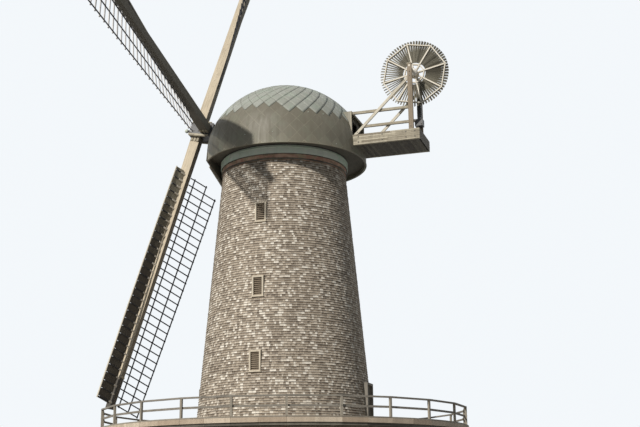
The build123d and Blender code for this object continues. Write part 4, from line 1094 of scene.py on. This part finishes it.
# Dark slate timber; on the stage deck, the beam under the gallery's rim and the cap's front, soffit and rear
# wall it is painted shade, darker than the wood.
SLATE_COLOURS = (0.20, 0.185, 0.145), (0.085, 0.075, 0.06)
WINDOW_COLOURS = (0.74, 0.67, 0.54), (0.50, 0.43, 0.33)
SHINGLE = shingle_material()
IRON = iron_material()
FRIEZE = frieze_material()
CONCRETE = concrete_material()
SLATS = slat_material()
COPPER = copper_material("brown_copper_sheets", (0.130, 0.117, 0.084), (0.185, 0.171, 0.127),
                         (0.16, 0.185, 0.13), 0.2, 0.4)
COPPER_FOOT = copper_material("pale_copper_foot", (0.150, 0.137, 0.098), (0.205, 0.19, 0.14),
                              (0.18, 0.215, 0.15), 0.3, 0.9)
COPPER_HIGH = copper_material("grey_copper_sheets", (0.275, 0.285, 0.245), (0.38, 0.395, 0.355),
                              (0.27, 0.36, 0.27), 0.25, -0.5)
COPPER_PLAIN = copper_material("dull_copper_trim", (0.175, 0.155, 0.108), (0.225, 0.207, 0.152),
                               (0.20, 0.25, 0.17), 0.3, 0.0)
RIVET = copper_material("pale_green_copper", (0.44, 0.48, 0.40), (0.62, 0.66, 0.56),
                        (0.42, 0.56, 0.42), 0.4, 0.0)
# Green copper of the curb, paled well past its own colour as painted sunlight under the dome's lip.
VERDIGRIS_PAINTED_SUNLIT = copper_material("green_copper_band_painted_sunlit", (0.66, 0.76, 0.64), (0.92, 0.95, 0.86),
                            (0.60, 0.80, 0.62), 0.5, 0.0)
STAGE_WOOD = timber_material("pale_timber_boards", *STAGE_COLOURS, (0, 1, 0), True)
STAGE_LONG = timber_material("pale_timber_level", *STAGE_COLOURS, (0, 1, 0))
STAGE_UPRIGHT = timber_material("post_timber", *POST_COLOURS)
BOARD_DARK = timber_material("dark_boards", *SLATE_COLOURS, toned=True)
DARK_PLAIN = timber_material("dark_timber_plain", *SLATE_COLOURS, (1, 0, 0))
# Windboard timber; its wide tone range carries the boards' painted light and shade.
WINDBOARD = timber_material("windboard_timber", (0.42, 0.39, 0.30), (0.085, 0.075, 0.06), (1, 0, 0), True,
                            tone_share=1.4)
DECK_BOARDS = timber_material("deck_boards", *GREY_COLOURS, (0, 1, 0), True)
RAIL_SHADED = timber_material("rail_timber", *RAIL_SHADED_COLOURS, (1, 1, 0))
POST_WOOD = timber_material("rail_post_timber", *GREY_COLOURS)
RIM_DARK = timber_material("rim_timber_dark", *SLATE_COLOURS, (1, 1, 0), True)
RIM_WOOD = timber_material("rim_timber", (0.68, 0.58, 0.45), (0.42, 0.33, 0.24), (1, 1, 0), True)
BROWN_WOOD = timber_material("brown_timber", *BROWN_COLOURS)
DOOR_FRAME_SHADED = timber_material("door_frame_timber_painted_shade", *RAIL_SHADED_COLOURS)
BRACE_WOOD = timber_material("pale_brace_timber", (0.78, 0.73, 0.62), (0.50, 0.45, 0.35), (0, 1, 1), rain=0.2)
PAINT = timber_material("faded_window_paint", *WINDOW_COLOURS, rain=0.2)
PAINT_LEVEL = timber_material("faded_fan_paint", (0.90, 0.85, 0.74), (0.68, 0.62, 0.51), (1, 0, 0), rain=0.1)
PAINT_TONED = timber_material("faded_trim_paint", *WINDOW_COLOURS, (0, 1, 0), True, rain=0.2)
LOUVRE = timber_material("louvre_timber", (0.42, 0.35, 0.26), (0.22, 0.17, 0.12), (0, 1, 0))
INNER_WOOD = timber_material("inner_timber", (0.45, 0.36, 0.26), (0.28, 0.21, 0.14), (0, 1, 0), rain=0.0)
# One lattice timber in painted copies: near black as painted shade for the outer pair's bars, the windboard
# bars and the laths, near white as painted sunlight for the inner pair's bars.
LATTICE_SHADED = timber_material("lattice_timber_painted_shade", (0.07, 0.07, 0.072), (0.022, 0.023, 0.028),
                               (1, 0, 0), True)
LATTICE_SUNLIT = timber_material("lattice_timber_painted_sunlit", (0.86, 0.85, 0.84), (0.66, 0.65, 0.64),
                               (1, 0, 0), True)
# Pale timber, paled further as painted sunlight, for the bars' roots and the fan's hub caps.
PALE_AND_SUNLIT_TIMBER = timber_material("pale_timber_painted_sunlit", (0.92, 0.88, 0.80), (0.72, 0.67, 0.57),
                             (1, 0, 0), True, rain=0.1)
LATH_SHADED = timber_material("lath_timber_painted_shade", (0.06, 0.06, 0.062), (0.018, 0.02, 0.025), toned=True)
STOCK_OUTER = stock_material("stock_timber_outer", 0, 0.75)
STOCK_INNER = stock_material("stock_timber_inner", 1, 0.9)

NODE_MATERIALS = {
    SHINGLE: ["base_wall", "lower_wall", "middle_wall", "upper_wall"],
    CONCRETE: ["foundations"],
    INNER_WOOD: ["tower_floors", "cap_floor", "shaft_beams"],
    PAINT: ["window_frames"],
    LOUVRE: ["window_louvres"],
    FRIEZE: ["frieze_band"],
    VERDIGRIS_PAINTED_SUNLIT: ["curb_band", "curb_track"],
    IRON: ["cap_live_ring", "fan_drive", "windshaft", "poll_end"],
    BROWN_WOOD: ["gallery_bearers", "gallery_ring_beam", "gallery_posts"],
    DOOR_FRAME_SHADED: ["door_frames"],
    RAIL_SHADED: ["gallery_rails"],
    POST_WOOD: ["rail_posts"],
    COPPER_PLAIN: ["dome", "stage_porch"],
    # The cap's front, soffit and rear wall are dark as painted shade.
    DARK_PLAIN: ["cap_front", "cap_soffit", "rear_wall"],
    STAGE_UPRIGHT: ["fan_posts", "fan_bearings"],
    PAINT_LEVEL: ["fan_frame", "fan_axle"],
    BRACE_WOOD: ["fan_braces"],
    STAGE_LONG: ["stage_handrails"],
    SLATS: ["fan_slats"],
    STOCK_OUTER: ["stock_outer"],
    STOCK_INNER: ["stock_inner"],
    LATTICE_SHADED: ["sail_lattices_outer", "sail_lattices_inner"],
    WINDBOARD: ["sail_windboards_outer", "sail_windboards_inner"],
    DECK_BOARDS: ["gallery_deck"],
    RIM_WOOD: ["gallery_rim"],
    STAGE_WOOD: ["stage_beams"],
    BOARD_DARK: ["stage_deck", "door_leaves"],
}


def paint_nodes():
    """Gives every node of the frame its material."""
    for material, names in NODE_MATERIALS.items():
        for name in names:
            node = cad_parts.get(name)
            if node:
                node.data.materials.clear()
                node.data.materials.append(material)


def dress_tower():
    """Shingles of the four storeys, then the doors, the tower's head, the windows and the gallery."""
    tops = (DECK_UNDER, *FLOORS[2:], WALL_TOP + 0.02)
    for k, name in enumerate(("base", "lower", "middle", "upper")):
        shingles(f"shingles_{name}", FLOORS[k], tops[k], 100 + k)
    doors()
    tower_head()
    window_trims()
    gallery_boards()
    rim_timbers()
    rail_bolts()


def dress_cap():
    """Dome, lip, front boards, tail stage and the fantail's fittings."""
    dome_cladding()
    lip_roll()
    front_boards()
    stage_dressing()
    fan_fittings()


def dress_sails():
    """Boards and lattices of both pairs of sails, then the stocks and the poll end."""
    # The inner pair's bars take the sunlit copy of the lattice timber and the outer pair's bars take the
    # shaded copy.
    for name, sails, bars, wide, seed in (("outer", (0, 2), LATTICE_SHADED, BAR_WIDE, 71),
                                          ("inner", (1, 3), LATTICE_SUNLIT, BAR_WIDE_INNER, 72)):
        windboards(name, sails, seed)
        lattice(name, sails, bars, wide, seed + 10)
    stock_fittings()
    poll_dressing()


# Floor, light and camera
FLOOR_HALF, FLOOR_DROP = 400.0, 0.002
FLOOR_LIGHTING, FLOOR_SEEN = (0.24, 0.24, 0.235), (0.82, 0.82, 0.81)
SKY_LIGHTING, SKY_SEEN, SKY_STRENGTH = (0.86, 0.92, 1.0), (0.90, 0.935, 0.965), 0.26
SUN_STRENGTH, SUN_WIDTH, SUN_COLOUR = 3.55, radians(1), (1.0, 0.96, 0.90)
SUN_AZIMUTH, SUN_HEIGHT = radians(-19.5), radians(31)
LENS, SENSOR, CAMERA_AT = 61.9, 36.0, (50.98, 18.08, 1.906)
HEADING, PITCH, ROLL = radians(17.615), radians(14.789), radians(-0.583)


def seen_ray(tree):
    """One for the rays that show the stage itself or its reflection, nought for the rays that light."""
    path = add(tree, "LightPath").outputs
    mirrored = calc(tree, "MAXIMUM", path["Is Glossy Ray"], path["Is Transmission Ray"])
    return calc(tree, "MAXIMUM", path["Is Camera Ray"], mirrored)


def floor():
    """Plain floor that takes the shadow: pale where it is seen, darker for the rays that light the mill."""
    mesh = bpy.data.meshes.new("floor")
    far = FLOOR_HALF
    mesh.from_pydata([(-far, -far, 0), (far, -far, 0), (far, far, 0), (-far, far, 0)], [], [(0, 1, 2, 3)])
    material, tree, shader, _ = new_material("pale_floor", 0.95)
    tree.links.new(blend(tree, seen_ray(tree), FLOOR_LIGHTING, FLOOR_SEEN), shader.inputs["Base Color"])
    mesh.materials.append(material)
    obj = put("floor", mesh)
    obj.location.z = -FLOOR_DROP


def light():
    """Sun from the left of the camera and a plain pale sky."""
    sun = bpy.data.lights.new("sun", "SUN")
    sun.energy, sun.angle, sun.color = SUN_STRENGTH, SUN_WIDTH, SUN_COLOUR
    out = Vector((*polar(cos(SUN_HEIGHT), SUN_AZIMUTH), sin(SUN_HEIGHT)))
    put("sun", sun).rotation_euler = out.to_track_quat("Z", "Y").to_euler()
    world = bpy.data.worlds.new("pale_sky")
    bpy.context.scene.world = world
    world.use_nodes = True
    tree = world.node_tree
    seen = seen_ray(tree)
    background = tree.nodes["Background"]
    tree.links.new(blend(tree, seen, SKY_LIGHTING, SKY_SEEN), background.inputs["Color"])
    tree.links.new(span(tree, seen, 0.0, 1.0, SKY_STRENGTH, 1.0), background.inputs["Strength"])


def camera():
    """Camera at the photograph's place and angle."""
    data = bpy.data.cameras.new("camera")
    data.lens, data.sensor_width = LENS, SENSOR
    data.clip_start, data.clip_end = 0.5, 1000.0
    obj = put("camera", data)
    ahead = Vector((-cos(HEADING) * cos(PITCH), -sin(HEADING) * cos(PITCH), sin(PITCH)))
    across = Vector((-sin(HEADING), cos(HEADING), 0))
    up = across.cross(ahead)
    right, top = across * cos(ROLL) + up * sin(ROLL), up * cos(ROLL) - across * sin(ROLL)
    turn = Matrix((right, top, -ahead)).transposed().to_4x4()
    obj.matrix_world = Matrix.Translation(CAMERA_AT) @ turn
    bpy.context.scene.camera = obj


paint_nodes()
dress_tower()
dress_cap()
dress_sails()
floor()
light()
camera()
bpy.context.scene.view_settings.view_transform = "Standard"
bpy.context.view_layer.update()
